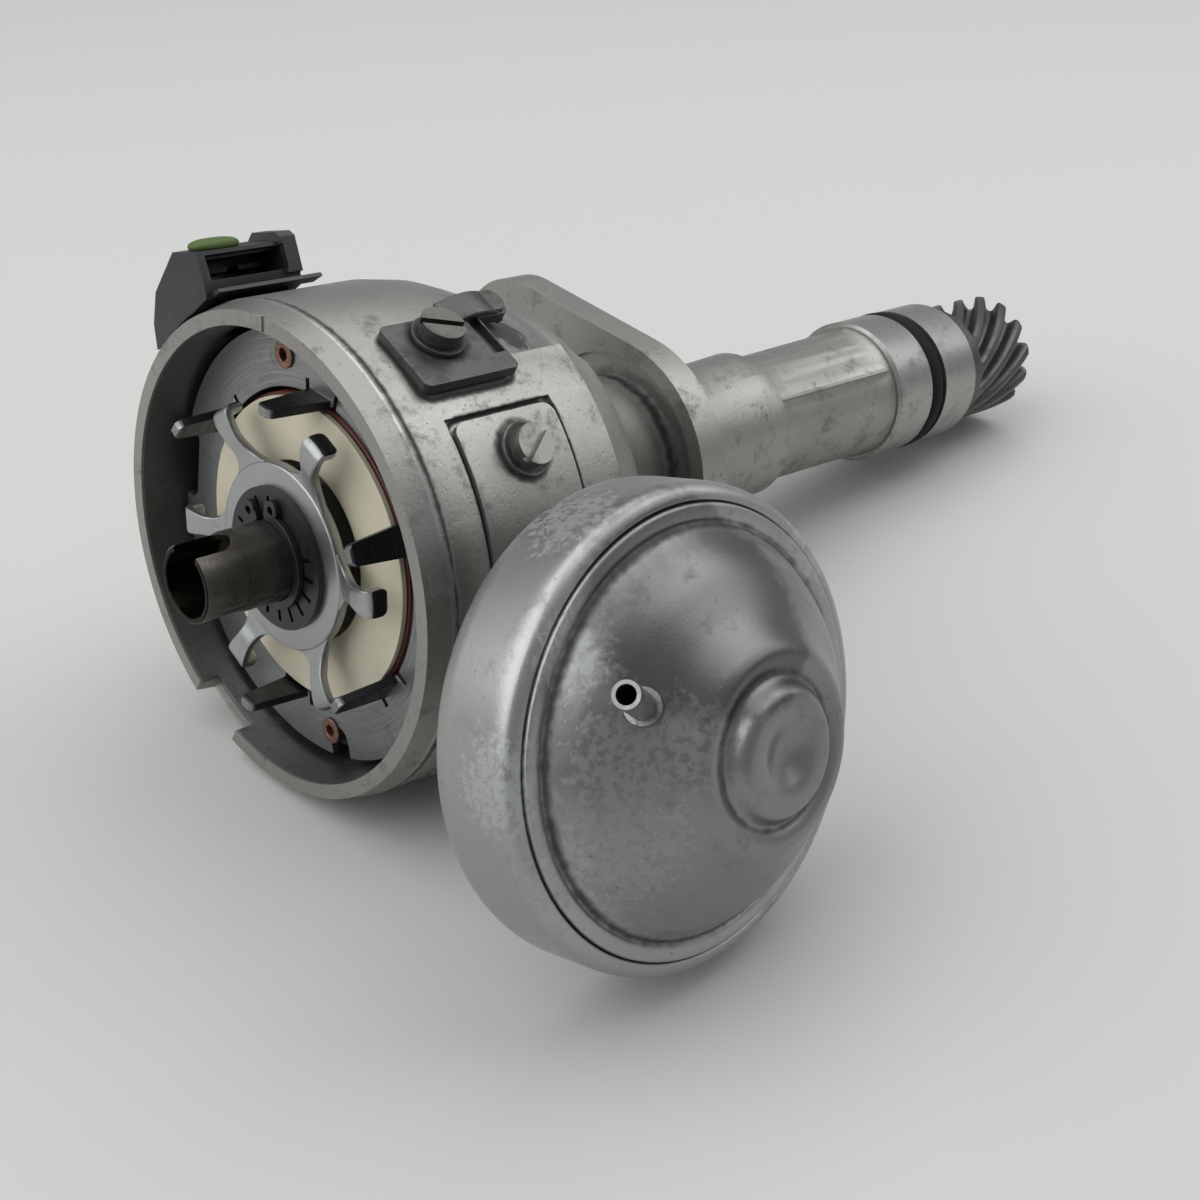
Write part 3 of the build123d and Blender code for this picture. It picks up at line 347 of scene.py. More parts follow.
def fill_seat(graph: Graph, given: Sockets) -> dict[str, Socket]:
    """Grime line with painted shade in the gap round a plate on the bowl: near the edge of an
    oblong unrolled on the wall.

    The distance past the oblong is that past a smaller oblong less the corner radius; past
    a corner it is the length of the two distances past its sides.

    Args:
        graph: The group's graph.
        given: Place, the oblong's middle and half sides, and the width of the line.

    Returns:
        The line's mask.
    """
    x, y, z = graph.split(given["Vector"])
    turn = graph.math("ARCTAN2", z, graph.times(y, -1.0))
    arc = graph.times(graph.minus(turn, given["Turn"]), WALL_RADIUS)
    along = graph.minus(x, given["Along"])
    past_x, past_y = (
        graph.plus(SEAT_CORNER, graph.minus(graph.math("ABSOLUTE", way), half))
        for way, half in ((along, given["HalfLength"]), (arc, given["HalfWidth"])))
    outside = graph.length(graph.larger(past_x, 0.0), graph.larger(past_y, 0.0))
    inside = graph.math("MINIMUM", graph.larger(past_x, past_y), 0.0)
    past = graph.minus(graph.plus(outside, inside), SEAT_CORNER)
    ragged = graph.plus(past, graph.shake(given["Vector"], 700.0, 5.0, SEAT_SHAKE))
    return {"Mask": graph.ramp(graph.math("ABSOLUTE", ragged), given["Spread"], SEAT_CORE)}


def fill_hoop(graph: Graph, given: Sockets) -> dict[str, Socket]:
    """Grime with painted shade in a round corner: fades out with the distance from a circle in
    space.

    The distance is that between the circle's radius and the distance from its axis, joined
    at right angles with the height above its plane.

    Args:
        graph: The group's graph.
        given: Place, the circle's centre, axis and radius, and how far the grime and shade
            spread.

    Returns:
        The mask of grime and painted shade.
    """
    arm = graph.vector("SUBTRACT", given["Vector"], given["Centre"], "Vector")
    height = graph.vector("DOT_PRODUCT", arm, given["Axis"])
    square = graph.vector("DOT_PRODUCT", arm, arm)
    flat = graph.minus(square, graph.times(height, height))
    reach = graph.math("SQRT", graph.larger(flat, 0.0))
    away = graph.length(graph.minus(reach, given["Radius"]), height)
    ragged = graph.plus(away, graph.shake(given["Vector"], 500.0, 6.0, given["Spread"]))
    return {"Mask": graph.ramp(ragged, given["Spread"], 0.0)}


HOOP = Group("Hoop", {"Centre": ORIGIN, "Axis": ALONG_SHAFT, "Radius": 0.01, "Spread": 0.001},
             ("Mask",), fill_hoop)
BAND = Group("Band", {"Low": 0.0, "High": 0.01, "Inner": 0.0, "Outer": 1.0, "Rag": 0.00015},
             ("Mask",), fill_band)
SEAT = Group("Seat", {"Along": 0.02, "Turn": 1.0, "HalfLength": 0.01, "HalfWidth": 0.01,
                      "Spread": 0.001}, ("Mask",), fill_seat)
MOTTLE = Group("Mottle", {"Scale": 60.0, "Roughness": 0.6, "Level": 0.5, "Softness": 0.1},
               ("Mask",), fill_mottle)
GRAIN = Group("Grain", {"Scale": 1800.0, "Strength": 0.3, "Distance": 0.0001},
              ("Normal",), fill_grain)
BRUSH = Group("Brush", {"Fine": 4000.0, "Stretch": 2.0, "Strength": 0.2},
              ("Value", "Normal"), fill_brush)
SPOT = Group("Spot", {"Centre": ORIGIN, "Outer": 0.01, "Inner": 0.004}, ("Mask",), fill_spot)


class Kind(Enum):
    """How a surface was made: TURNED and WIRE show tool marks, the others a fine grain."""

    CAST = "cast"
    SHEET = "sheet"
    TURNED = "turned"
    MOULDED = "moulded"
    WIRE = "wire"
    CLOTH = "cloth"


@dataclass(frozen=True)
class Finish:
    """One finish of the object, with its colours, roughness, grain, wear, dirt and painted
    light and shade.

    Places and sizes are in millimetres. Spots and flakes hold a centre and a reach, and a
    stain also the share of the colour it leaves; the can's stains are partly painted shade
    and reflection of dark surroundings. A seat holds its place along the shaft, its angle,
    its half sides and its spread, and a hoop its centre, axis, radius and spread; both lay
    grime with painted shade in gaps and corners. A band holds its low and high place, the
    radius it starts at (or, if less than nought, the radius it ends at), its colour and how
    much smoother it is; some bands are painted shade or a painted highlight.
    """

    slot: str
    kind: Kind
    color: Triple
    roughness: float = 0.45
    metallic: float = 1.0
    grain: float = 0.2
    grain_scale: float = 1800.0
    second: Optional[Triple] = None
    second_level: float = 0.62
    second_scale: float = 60.0
    dirt: float = 0.35
    dirt_and_shade_color: Triple = (0.03, 0.025, 0.02)
    spots: tuple[tuple[float, ...], ...] = ()
    seats: tuple[tuple[float, ...], ...] = ()
    bands: tuple[tuple[float, float, float, Triple, float], ...] = ()
    stains_and_shade: tuple[tuple[float, ...], ...] = ()
    specks: float = 0.0
    hoops: tuple[tuple[Triple, Triple, float, float], ...] = ()
    flakes: tuple[tuple[float, ...], ...] = ()
    specular: float = 0.5

    def build(self) -> bpy.types.Material:
        """Makes the material.

        Returns:
            A node material named after the slot.
        """
        material = bpy.data.materials.new("finish_" + self.slot)
        material.use_nodes = True
        graph = Graph(material.node_tree)
        space = graph.object_space()
        shade, rough = self.surface(graph, space)
        if self.kind in (Kind.TURNED, Kind.WIRE):
            marks = BRUSH.use(graph, space, Strength=self.grain)
            normal, value = marks["Normal"], marks["Value"]
            shade = graph.mix(graph.ramp(value, 0.35, 0.65, 0.0, 0.5), shade,
                              (0.5, 0.5, 0.5, 1.0), "MULTIPLY")
            rough = graph.plus(rough, graph.ramp(value, 0.3, 0.7, -0.08, 0.08))
        else:
            normal = GRAIN.use(graph, space, Scale=self.grain_scale,
                               Strength=self.grain)["Normal"]
        grime_and_shade = self.grime_and_shade(graph, space)
        # dirt colour laid over the metal, also as painted shade in gaps and corners
        shade = graph.mix(grime_and_shade, shade, opaque(self.dirt_and_shade_color))
        rough = graph.plus(rough, graph.times(grime_and_shade, 0.3), clamp=True)
        metal = graph.times(graph.minus(1.0, graph.times(grime_and_shade, 0.8)), self.metallic)
        shader = graph.add("BsdfPrincipled", {"Base Color": shade, "Roughness": rough,
                                              "Metallic": metal, "Normal": normal,
                                              "Specular IOR Level": self.specular})
        graph.add("OutputMaterial", {0: shader.outputs[0]})
        LOG.info("finish %s", self.slot)
        return material

    def surface(self, graph: Graph, space: Socket) -> tuple[Socket, Socket]:
        """Clean surface: two close tones, flaked plating, stains that are partly painted shade,
        and bands that are machined or painted shade or highlight.

        Args:
            graph: The material's graph.
            space: Object coordinates.

        Returns:
            The colour and the roughness.
        """
        tone = MOTTLE.use(graph, space, Scale=35.0, Level=0.5, Softness=0.25)["Mask"]
        lighter = tuple(min(1.0, channel * 1.12) for channel in self.color)
        shade = graph.mix(tone, opaque(self.color), opaque(lighter))
        rough = graph.ramp(tone, 0.0, 1.0, self.roughness + 0.05, self.roughness - 0.05)
        if self.flakes:
            patch = self.flaking(graph, space)
            shade = graph.mix(patch, shade, opaque(self.second))
            rough = graph.plus(rough, graph.times(patch, 0.12))
        # darkening patches: on the can partly painted shade and reflection of dark
        # surroundings, partly stains
        for *spot, level in self.stains_and_shade:
            shade = graph.mix(self.patch(graph, space, spot, STAIN_AND_SHADE_CORE), shade,
                              (level, level, level, 1.0), "MULTIPLY")
        for low, high, inner, color, gloss in self.bands:
            mask = BAND.use(graph, space, Low=low * MM, High=high * MM,
                            Inner=max(inner, 0.0) * MM,
                            Outer=-inner * MM if inner < 0.0 else 1.0)["Mask"]
            shade = graph.mix(mask, shade, opaque(color))
            rough = graph.minus(rough, graph.times(mask, gloss))
        return shade, rough

    def grime_and_shade(self, graph: Graph, space: Socket) -> Socket:
        """Dirt: blotches and specks all over, and grime round fixings, seats and corners.

        Args:
            graph: The material's graph.
            space: Object coordinates.

        Returns:
            How much dirt and painted shade cover each place.
        """
        blotches = MOTTLE.use(graph, space, Scale=140.0, Roughness=0.78,
                              Level=0.68 - 0.2 * self.dirt, Softness=0.09)["Mask"]
        amount = graph.times(blotches, self.dirt)
        layers = []
        if self.specks:
            dots = MOTTLE.use(graph, space, Scale=1300.0, Roughness=0.5, Level=0.70,
                              Softness=0.03)["Mask"]
            layers.append((dots, self.specks))
        layers += [(self.patch(graph, space, spot, SPOT_CORE), SPOT_DIRT)
                   for spot in self.spots]
        # painted shade with grime: dark lines in the gaps round plates on the bowl
        for along, turn, half_length, half_width, spread in self.seats:
            line = SEAT.use(graph, space, Along=along * MM, Turn=float(np.radians(turn)),
                            HalfLength=half_length * MM, HalfWidth=half_width * MM,
                            Spread=spread * MM)["Mask"]
            layers.append((line, SEAT_SHADE_AND_DIRT))
        # painted shade with grime: darkening in round corners and grooves
        for centre, axis, radius, spread in self.hoops:
            corner = HOOP.use(graph, space, Centre=metres(centre), Axis=axis,
                              Radius=radius * MM, Spread=spread * MM)["Mask"]
            layers.append((corner, HOOP_SHADE_AND_DIRT))
        for mask, share in layers:
            amount = graph.larger(amount, graph.times(mask, share))
        return amount

    def patch(self, graph: Graph, space: Socket, spot: Sequence[float],
              core: float) -> Socket:
        """Round patch about a place.

        Args:
            graph: The material's graph.
            space: Object coordinates.
            spot: The patch's centre and its reach.
            core: Share of the reach within which it is full.

        Returns:
            The patch's mask.
        """
        *centre, reach = spot
        return SPOT.use(graph, space, Centre=metres(centre), Outer=reach * MM,
                        Inner=reach * core * MM)["Mask"]

    def flaking(self, graph: Graph, space: Socket) -> Socket:
        """Flaked plating: fine noise cut at a level that falls near the listed places.

        Args:
            graph: The material's graph.
            space: Object coordinates.

        Returns:
            The mask of flaked metal.
        """
        region = 0.0
        for spot in self.flakes:
            region = graph.larger(region, self.patch(graph, space, spot, FLAKE_CORE))
        noise = graph.noise(space, self.second_scale, 9.0, 0.72)
        level = graph.plus(noise, graph.times(region, 0.2))
        return graph.ramp(level, self.second_level - 0.01, self.second_level + 0.015)


CAN_AXIS = (0.0, -0.9583, 0.2857)
FOOT_OUT = (0.0, -0.788, 0.616)
CLIP_OUT = (0.0, -0.4067, 0.9135)
SKY, SKY_LEVEL = (0.80, 0.82, 0.84), 0.38
STEEL = (0.30, 0.295, 0.285)
# soot colour, also the colour of painted shade in gaps and corners
SOOT_AND_SHADE = (0.012, 0.011, 0.010)
FINISHES = (
    Finish("cast_alloy", Kind.CAST, (0.305, 0.299, 0.284), 0.40, 0.92, 0.35, 1500.0, dirt=0.48,
           dirt_and_shade_color=SOOT_AND_SHADE, specks=0.7,
           spots=((20.0, -18.3, 41.2, 6.2), (38.5, -14.5, 39.8, 6.8)),
           # painted shade with grime in the gaps round the clip plate and the bracket foot
           seats=((21.2, 63.0, 10.1, 7.6, 1.1), (24.6, -5.75, 11.3, 42.6, 0.7)),
           # inside of the bowl darkened: painted shade
           bands=((0.6, 36.0, -42.4, (0.17, 0.173, 0.178), 0.0),
                  # light, smoother line on the rim's step: painted highlight on a machined edge
                  (4.25, 4.65, 44.0, (0.46, 0.46, 0.445), 0.1),
                  (163.9, 195.2, 0.0, (0.36, 0.355, 0.345), 0.08)),
           # painted shade with grime round the bracket screw, where the neck meets the flange,
           # and past the rim's step
           hoops=(((25.5, -36.1, 28.2), FOOT_OUT, 5.0, 1.3),
                  ((84.6, 0.0, 0.0), ALONG_SHAFT, 18.3, 3.2),
                  ((5.4, 0.0, 0.0), ALONG_SHAFT, 45.2, 0.9))),
    Finish("bush_bronze", Kind.TURNED, (0.38, 0.26, 0.13), 0.4),
    Finish("black_rubber", Kind.MOULDED, (0.006, 0.006, 0.006), 0.7, 0.0, 0.15, dirt=0.0,
           specular=0.2),
    Finish("shaft_steel", Kind.TURNED, STEEL, 0.32, dirt=0.3),
    Finish("gear_iron", Kind.CAST, (0.105, 0.10, 0.095), 0.36, 0.95, 0.25, 2200.0, dirt=0.5,
           dirt_and_shade_color=SOOT_AND_SHADE),
    Finish("weight_iron", Kind.CAST, (0.16, 0.15, 0.14), 0.5),
    Finish("spring_steel", Kind.WIRE, (0.4, 0.4, 0.4), 0.3, dirt=0.1),
    # near-black base colour, left inside the tube's bore by the bands: painted shade, with
    # brown dirt
    Finish("rotor_steel", Kind.TURNED, (0.012, 0.009, 0.006), 0.40, 0.9, 0.3, dirt=0.6,
           dirt_and_shade_color=(0.02, 0.014, 0.009),
           bands=((-30.0, 60.0, 6.9, (0.105, 0.10, 0.09), 0.03),
                  (-20.0, -8.3, 6.9, (0.15, 0.14, 0.125), 0.05))),
    # dark band on the outer faces of the arms' tabs: painted shade
    Finish("wheel_steel", Kind.SHEET, (0.36, 0.37, 0.37), 0.36, 0.95, 0.12, dirt=0.3,
           dirt_and_shade_color=SOOT_AND_SHADE, bands=((-20.0, 20.0, 27.95, (0.045, 0.045, 0.045), -0.1),)),
    Finish("hub_black", Kind.SHEET, (0.055, 0.055, 0.06), 0.42, 0.9, 0.15),
    Finish("felt", Kind.CLOTH, (0.045, 0.028, 0.014), 0.9, 0.0, 0.8, 3000.0, dirt=0.6),
    Finish("plate_steel", Kind.TURNED, (0.29, 0.293, 0.297), 0.38, 0.95, 0.6, dirt=0.4,
           dirt_and_shade_color=SOOT_AND_SHADE, bands=((-2.4, 8.7, 0.0, (0.075, 0.078, 0.085), 0.02),)),
    Finish("copper", Kind.TURNED, (0.30, 0.165, 0.12), 0.42, 0.9, 0.1, dirt=0.45),
    Finish("ferrite", Kind.MOULDED, (0.025, 0.025, 0.025), 0.6, 0.0),
    Finish("cream_plastic", Kind.MOULDED, (0.56, 0.52, 0.40), 0.5, 0.0, 0.06, dirt=0.18,
           dirt_and_shade_color=(0.2, 0.16, 0.09)),
    Finish("coil_wire", Kind.WIRE, (0.085, 0.012, 0.006), 0.4, 0.2, 0.3, dirt=0.6),
    Finish("zinc_steel", Kind.SHEET, (0.355, 0.36, 0.356), 0.36, 0.94, 0.18, 2500.0,
           second=(0.45, 0.46, 0.465), second_level=0.668, second_scale=760.0, dirt=0.34,
           dirt_and_shade_color=(0.035, 0.033, 0.033), specks=0.45,
           flakes=((-2.7, -92.0, 7.9, 15.0), (3.7, -96.3, 10.5, 12.0),
                   (-4.8, -94.2, -5.8, 17.0), (-4.8, -80.8, 19.7, 11.0),
                   (35.3, -94.8, -24.7, 13.0), (7.0, -66.9, 32.8, 13.0),
                   (-18.8, -81.4, 3.1, 13.0), (50.5, -76.5, 20.7, 12.0)),
           # dome and its upper left darkened: painted reflection of dark surroundings, partly
           # stains; the patch by the hose stub is painted shade that dims its highlight
           stains_and_shade=((19.9, -92.3, 2.0, 35.0, 0.66), (15.5, -86.3, 25.0, 20.5, 0.54),
                   (-7.0, -91.0, 27.0, 9.5, 0.7)),
           # painted shade with dirt in the grooves round the cover and round its boss
           hoops=(((19.9, -85.1, -0.1), CAN_AXIS, 32.0, 1.4),
                  ((19.9, -99.3, 4.1), CAN_AXIS, 11.9, 0.9))),
    # its hoop is painted shade with grime round the clip screw's washer
    Finish("clip_steel", Kind.SHEET, (0.092, 0.091, 0.088), 0.34, 0.92, 0.15, dirt=0.65,
           specks=0.6, dirt_and_shade_color=SOOT_AND_SHADE, hoops=(((20.0, -19.2, 43.1), CLIP_OUT, 4.9, 1.5),)),
    Finish("screw_steel", Kind.SHEET, (0.24, 0.235, 0.222), 0.3, 0.95, 0.12, dirt=0.6,
           dirt_and_shade_color=SOOT_AND_SHADE,
           # painted shade with grime round the screws' washers
           hoops=(((25.5, -36.9, 28.8), FOOT_OUT, 4.1, 1.3),
                  ((20.0, -19.6, 44.0), CLIP_OUT, 4.1, 1.2)),
           stains_and_shade=((20.0, -20.0, 45.5, 8.5, 0.5),)),
    Finish("black_plastic", Kind.MOULDED, (0.016, 0.016, 0.018), 0.42, 0.0, 0.3, 1200.0,
           dirt=0.35, dirt_and_shade_color=(0.07, 0.066, 0.062)),
    # terminals coloured near black: painted shade inside the socket's mouth
    Finish("tin_brass", Kind.SHEET, (0.035, 0.030, 0.024), 0.55, dirt=0.6),
    Finish("green_rubber", Kind.MOULDED, (0.065, 0.105, 0.022), 0.6, 0.0, 0.2, dirt=0.5,
           dirt_and_shade_color=(0.03, 0.035, 0.015)),
)

# ---------------------------------------------------------------- shapes
def round_corners(points: Sequence[Pair], radius: float, steps: int = 5) -> Array:
    """Rounds a closed outline: a parabola joins the two sides a short way from each corner.

    Args:
        points: Corner points in order.
        radius: How far from the corner the rounding starts, kept under half a side.
        steps: Points on each rounded corner.

    Returns:
        The rounded outline, as rows of coordinates.
    """
    corner = np.asarray(points, float)
    back, ahead = np.roll(corner, 1, axis=0) - corner, np.roll(corner, -1, axis=0) - corner
    back_long = np.linalg.norm(back, axis=1, keepdims=True)
    ahead_long = np.linalg.norm(ahead, axis=1, keepdims=True)
    start = corner + back * np.minimum(radius / back_long, 0.49)
    stop = corner + ahead * np.minimum(radius / ahead_long, 0.49)
    way = np.linspace(0.0, 1.0, steps)[None, :, None]
    curve = ((1 - way) ** 2 * start[:, None] + 2 * way * (1 - way) * corner[:, None]
             + way ** 2 * stop[:, None])
    return curve.reshape(-1, corner.shape[1])


def run_through(points: Sequence[Pair], count: int, weights: Sequence[float]) -> Array:
    """Smooth line near corner points: even steps, each averaged with its neighbours.

    Args:
        points: Corner points in order.
        count: Number of steps.
        weights: Share of each neighbour in the average, middle one in the middle.

    Returns:
        The line, as rows of coordinates.
    """
    corner = np.asarray(points, float)
    step = np.linspace(0.0, len(corner) - 1.0, count)
    line = np.column_stack([np.interp(step, np.arange(len(corner)), corner[:, axis])
                            for axis in (0, 1)])
    kernel = np.array(weights, float) / np.sum(weights)
    inner = np.column_stack([np.convolve(line[:, axis], kernel, "valid") for axis in (0, 1)])
    return np.vstack([line[:2], inner, line[-2:]])


def ribbon(path: Array, loop: Array, wide: Array, thick: Array) -> Array:
    """Strip along a flat path: a closed section set square to the path's direction.

    Args:
        path: Points of the middle line in its plane.
        loop: Section, as its place across the plane and its height over the line.
        wide: Factor on the first at each point of the path.
        thick: Factor on the second at each point of the path.

    Returns:
        Three grids: both coordinates in the plane, and the place across it.
    """
    ahead = np.gradient(path, axis=0)
    ahead /= np.linalg.norm(ahead, axis=1, keepdims=True)
    rise = thick[:, None] * loop[None, :, 1]
    return np.stack([path[:, :1] - rise * ahead[:, 1:], path[:, 1:] + rise * ahead[:, :1],
                     wide[:, None] * loop[None, :, 0]])


def capped(grid: Array) -> Array:
    """Closes a grid's open ends, each with a row at the middle of its last section."""
    ends = [grid[row].mean(axis=0) + 0.0 * grid[row][None] for row in (0, -1)]
    return np.concatenate([ends[0], grid, ends[1]])


def grid_faces(rows: int, cols: int, wrap_rows: bool, wrap_cols: bool) -> Array:
    """Quads of a grid, each joining a point with its next ones along and across.

    Args:
        rows: Number of rows.
        cols: Number of points in a row.
        wrap_rows: Whether the last row joins the first.
        wrap_cols: Whether a row's last point joins its first.

    Returns:
        Point numbers, four to a face.
    """
    row, col = np.meshgrid(np.arange(rows if wrap_rows else rows - 1),
                           np.arange(cols if wrap_cols else cols - 1), indexing="ij")
    down, side = (row + 1) % rows, (col + 1) % cols
    quads = (row * cols + col, row * cols + side, down * cols + side, down * cols + col)
    return np.stack(quads, -1).reshape(-1, 4)


def circle(steps: int) -> Array:
    """Angles of even steps round a full turn."""
    return np.linspace(0.0, 2.0 * np.pi, steps, endpoint=False)


def lathe(profile: Array, turns: int) -> Array:
    """Turns a closed profile: a point at radius r and height h goes to r cos t, r sin t, h.

    Args:
        profile: Radius and height of each profile point.
        turns: Steps round the axis.

    Returns:
        A grid of points, profile by turns by three.
    """
    turn = circle(turns)
    radius, height = profile[:, :1], profile[:, 1:]
    return np.stack([radius * np.cos(turn), radius * np.sin(turn), height + 0.0 * turn], -1)


def squared_up(value: Array, power: float) -> Array:
    """Signed power of a sine or cosine, which squares up a ball."""
    return np.sign(value) * np.abs(value) ** power


@dataclass(frozen=True)
class Place:
    """A local frame of axes in the row frame, in millimetres."""

    origin: Triple
    x: Triple
    y: Triple
    z: Triple

    def put(self, points: Array) -> Array:
        """Carries points, whose last axis holds local x, y and z, into the row frame."""
        return np.asarray(self.origin) + points @ np.array([self.x, self.y, self.z])


def on_wall(x: float, angle: float, reach: float) -> Place:
    """Local frame on the bowl wall: x along the shaft, y round it, z outwards.

    Args:
        x: Place along the shaft.
        angle: Degrees from -Y towards +Z.
        reach: Distance from the shaft's axis.

    Returns:
        The local frame.
    """
    turn = np.radians(angle)
    out = (0.0, -float(np.cos(turn)), float(np.sin(turn)))
    return Place((x, out[1] * reach, out[2] * reach), ALONG_SHAFT,
                 (0.0, float(np.sin(turn)), float(np.cos(turn))), out)


SHAFT = Place(ORIGIN, (0.0, -1.0, 0.0), (0.0, 0.0, 1.0), ALONG_SHAFT)
GEAR_AXES = Place(ORIGIN, (0.0, 1.0, 0.0), (0.0, 0.0, 1.0), ALONG_SHAFT)
# metres under which points merge, in new pieces and in copies of nodes
DOUBLES, COPY_DOUBLES = 1e-7, 2e-6
# degrees: under the first, faces of a copy join; past the second, its edges are rounded
FLAT_ANGLE, COPY_CREASE = 0.5, 32.0
CAN_STEPS, RING_STEPS, COIL_STEPS = 160, 120, 144


def show(name: str, data: bpy.types.ID) -> bpy.types.Object:
    """Puts data in the scene.

    Args:
        name: Name of its object.
        data: Mesh, lamp or camera.

    Returns:
        The new object.
    """
    shown = bpy.data.objects.new(name, data)
    bpy.context.scene.collection.objects.link(shown)
    return shown


def clean(mesh: bpy.types.Mesh, gap: float, flat: Optional[float]) -> None:
    """Merges doubles, then joins flat faces if asked, or else points the faces outwards.

    Args:
        mesh: Mesh to clean.
        gap: Distance in metres under which points merge.
        flat: Angle in degrees under which faces join, or None.
    """
    work = bmesh.new()
    work.from_mesh(mesh)
    bmesh.ops.remove_doubles(work, verts=work.verts, dist=gap)
    bmesh.ops.dissolve_degenerate(work, dist=gap, edges=work.edges)
    if flat is not None:
        bmesh.ops.dissolve_limit(work, angle_limit=np.radians(flat), verts=work.verts,
                                 edges=work.edges)
    else:
        bmesh.ops.recalc_face_normals(work, faces=work.faces)
    work.to_mesh(mesh)
    work.free()


def shade_smooth(mesh: bpy.types.Mesh, crease: float) -> None:
    """Shades a mesh smooth up to a crease angle in degrees."""
    mesh.polygons.foreach_set("use_smooth", np.ones(len(mesh.polygons), bool))
    mesh.set_sharp_from_angle(angle=np.radians(crease))


@dataclass
class Workshop:
    """Makes pieces from grids or from frame nodes and hands them to the frame."""

    materials: dict[str, bpy.types.Material]
    slots: dict[str, str]
    bodies: dict[str, str]

    def hand_over(self, mesh: bpy.types.Mesh, name: str, nodes: Sequence[str],
                  slot: Optional[str]) -> bpy.types.Object:
        """Puts a mesh in the scene as a piece that stands for frame nodes.

        Args:
            mesh: Finished mesh in metres.
            name: The piece's name.
            nodes: Nodes it stands for or, where it only rides, starts with the carrier.
            slot: Material slot whose finish it takes, or None for the first node's.

        Returns:
            The new object.
        """
        slot = slot or self.slots[nodes[0]]
        piece = show(name, mesh)
        mesh.materials.clear()
        mesh.materials.append(self.materials[slot])
        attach(piece, self.bodies[nodes[0]])
        LOG.info("piece %s: %d faces, %s", name, len(mesh.polygons), slot)
        return piece

    def shell(self, name: str, grids: Sequence[tuple[Array, bool, bool]], place: Place,
              nodes: Sequence[str], slot: Optional[str] = None, stands_for: bool = True,
              crease: float = 38.0) -> None:
        """Builds one piece from grids of points, each closed or open both ways.

        Args:
            name: The piece's name.
            grids: Point grid, then whether its rows and its columns close on themselves.
            place: Local frame of the grids, in millimetres.
            nodes: Nodes it stands for or rides with.
            slot: Material slot, or None for the first node's.
            stands_for: Whether the nodes are hidden by it.
            crease: Angle in degrees past which an edge stays sharp.
        """
        points, faces, count = [], [], 0
        for grid, wrap_rows, wrap_cols in grids:
            rows, cols = grid.shape[:2]
            points.append(place.put(grid.reshape(-1, 3)) * MM)
            faces.append(grid_faces(rows, cols, wrap_rows, wrap_cols) + count)
            count += rows * cols
        mesh = bpy.data.meshes.new(name)
        mesh.from_pydata(np.vstack(points).tolist(), [], np.vstack(faces).tolist())
        clean(mesh, DOUBLES, None)
        shade_smooth(mesh, crease)
        piece = self.hand_over(mesh, name, nodes, slot)
        if stands_for:
            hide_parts(*nodes)

    def turned(self, name: str, profile: Array, turns: int, place: Place, node: str,
               **settings) -> None:
        """Builds one piece as a closed profile turned round a local frame's z."""
        self.shell(name, [(lathe(profile, turns), True, True)], place, [node], **settings)

    def soften(self, node: str, width: float, slot: Optional[str] = None) -> bpy.types.Object:
        """Makes a copy of a node whose hard edges are rounded, and shows it instead.

        Args:
            node: The frame node.
            width: Width of the rounding in millimetres.
            slot: Material slot, or None for the node's.

        Returns:
            The new object.
        """
        mesh = frame["nodes"][node].data.copy()
        mesh.name = node + "_soft"
        clean(mesh, COPY_DOUBLES, FLAT_ANGLE)
        shade_smooth(mesh, COPY_CREASE)
        piece = self.hand_over(mesh, node + "_soft", [node], slot)
        bevel = piece.modifiers.new("edge", "BEVEL")
        bevel.width, bevel.segments = width * MM, 2
        bevel.limit_method, bevel.angle_limit = "ANGLE", np.radians(COPY_CREASE)
        bevel.use_clamp_overlap, bevel.harden_normals = True, True
        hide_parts(node)
        return piece

    def soften_each(self, **widths: float) -> None:
        """Softens several nodes, each by its own width."""
        for node, width in widths.items():
            self.soften(node, width)


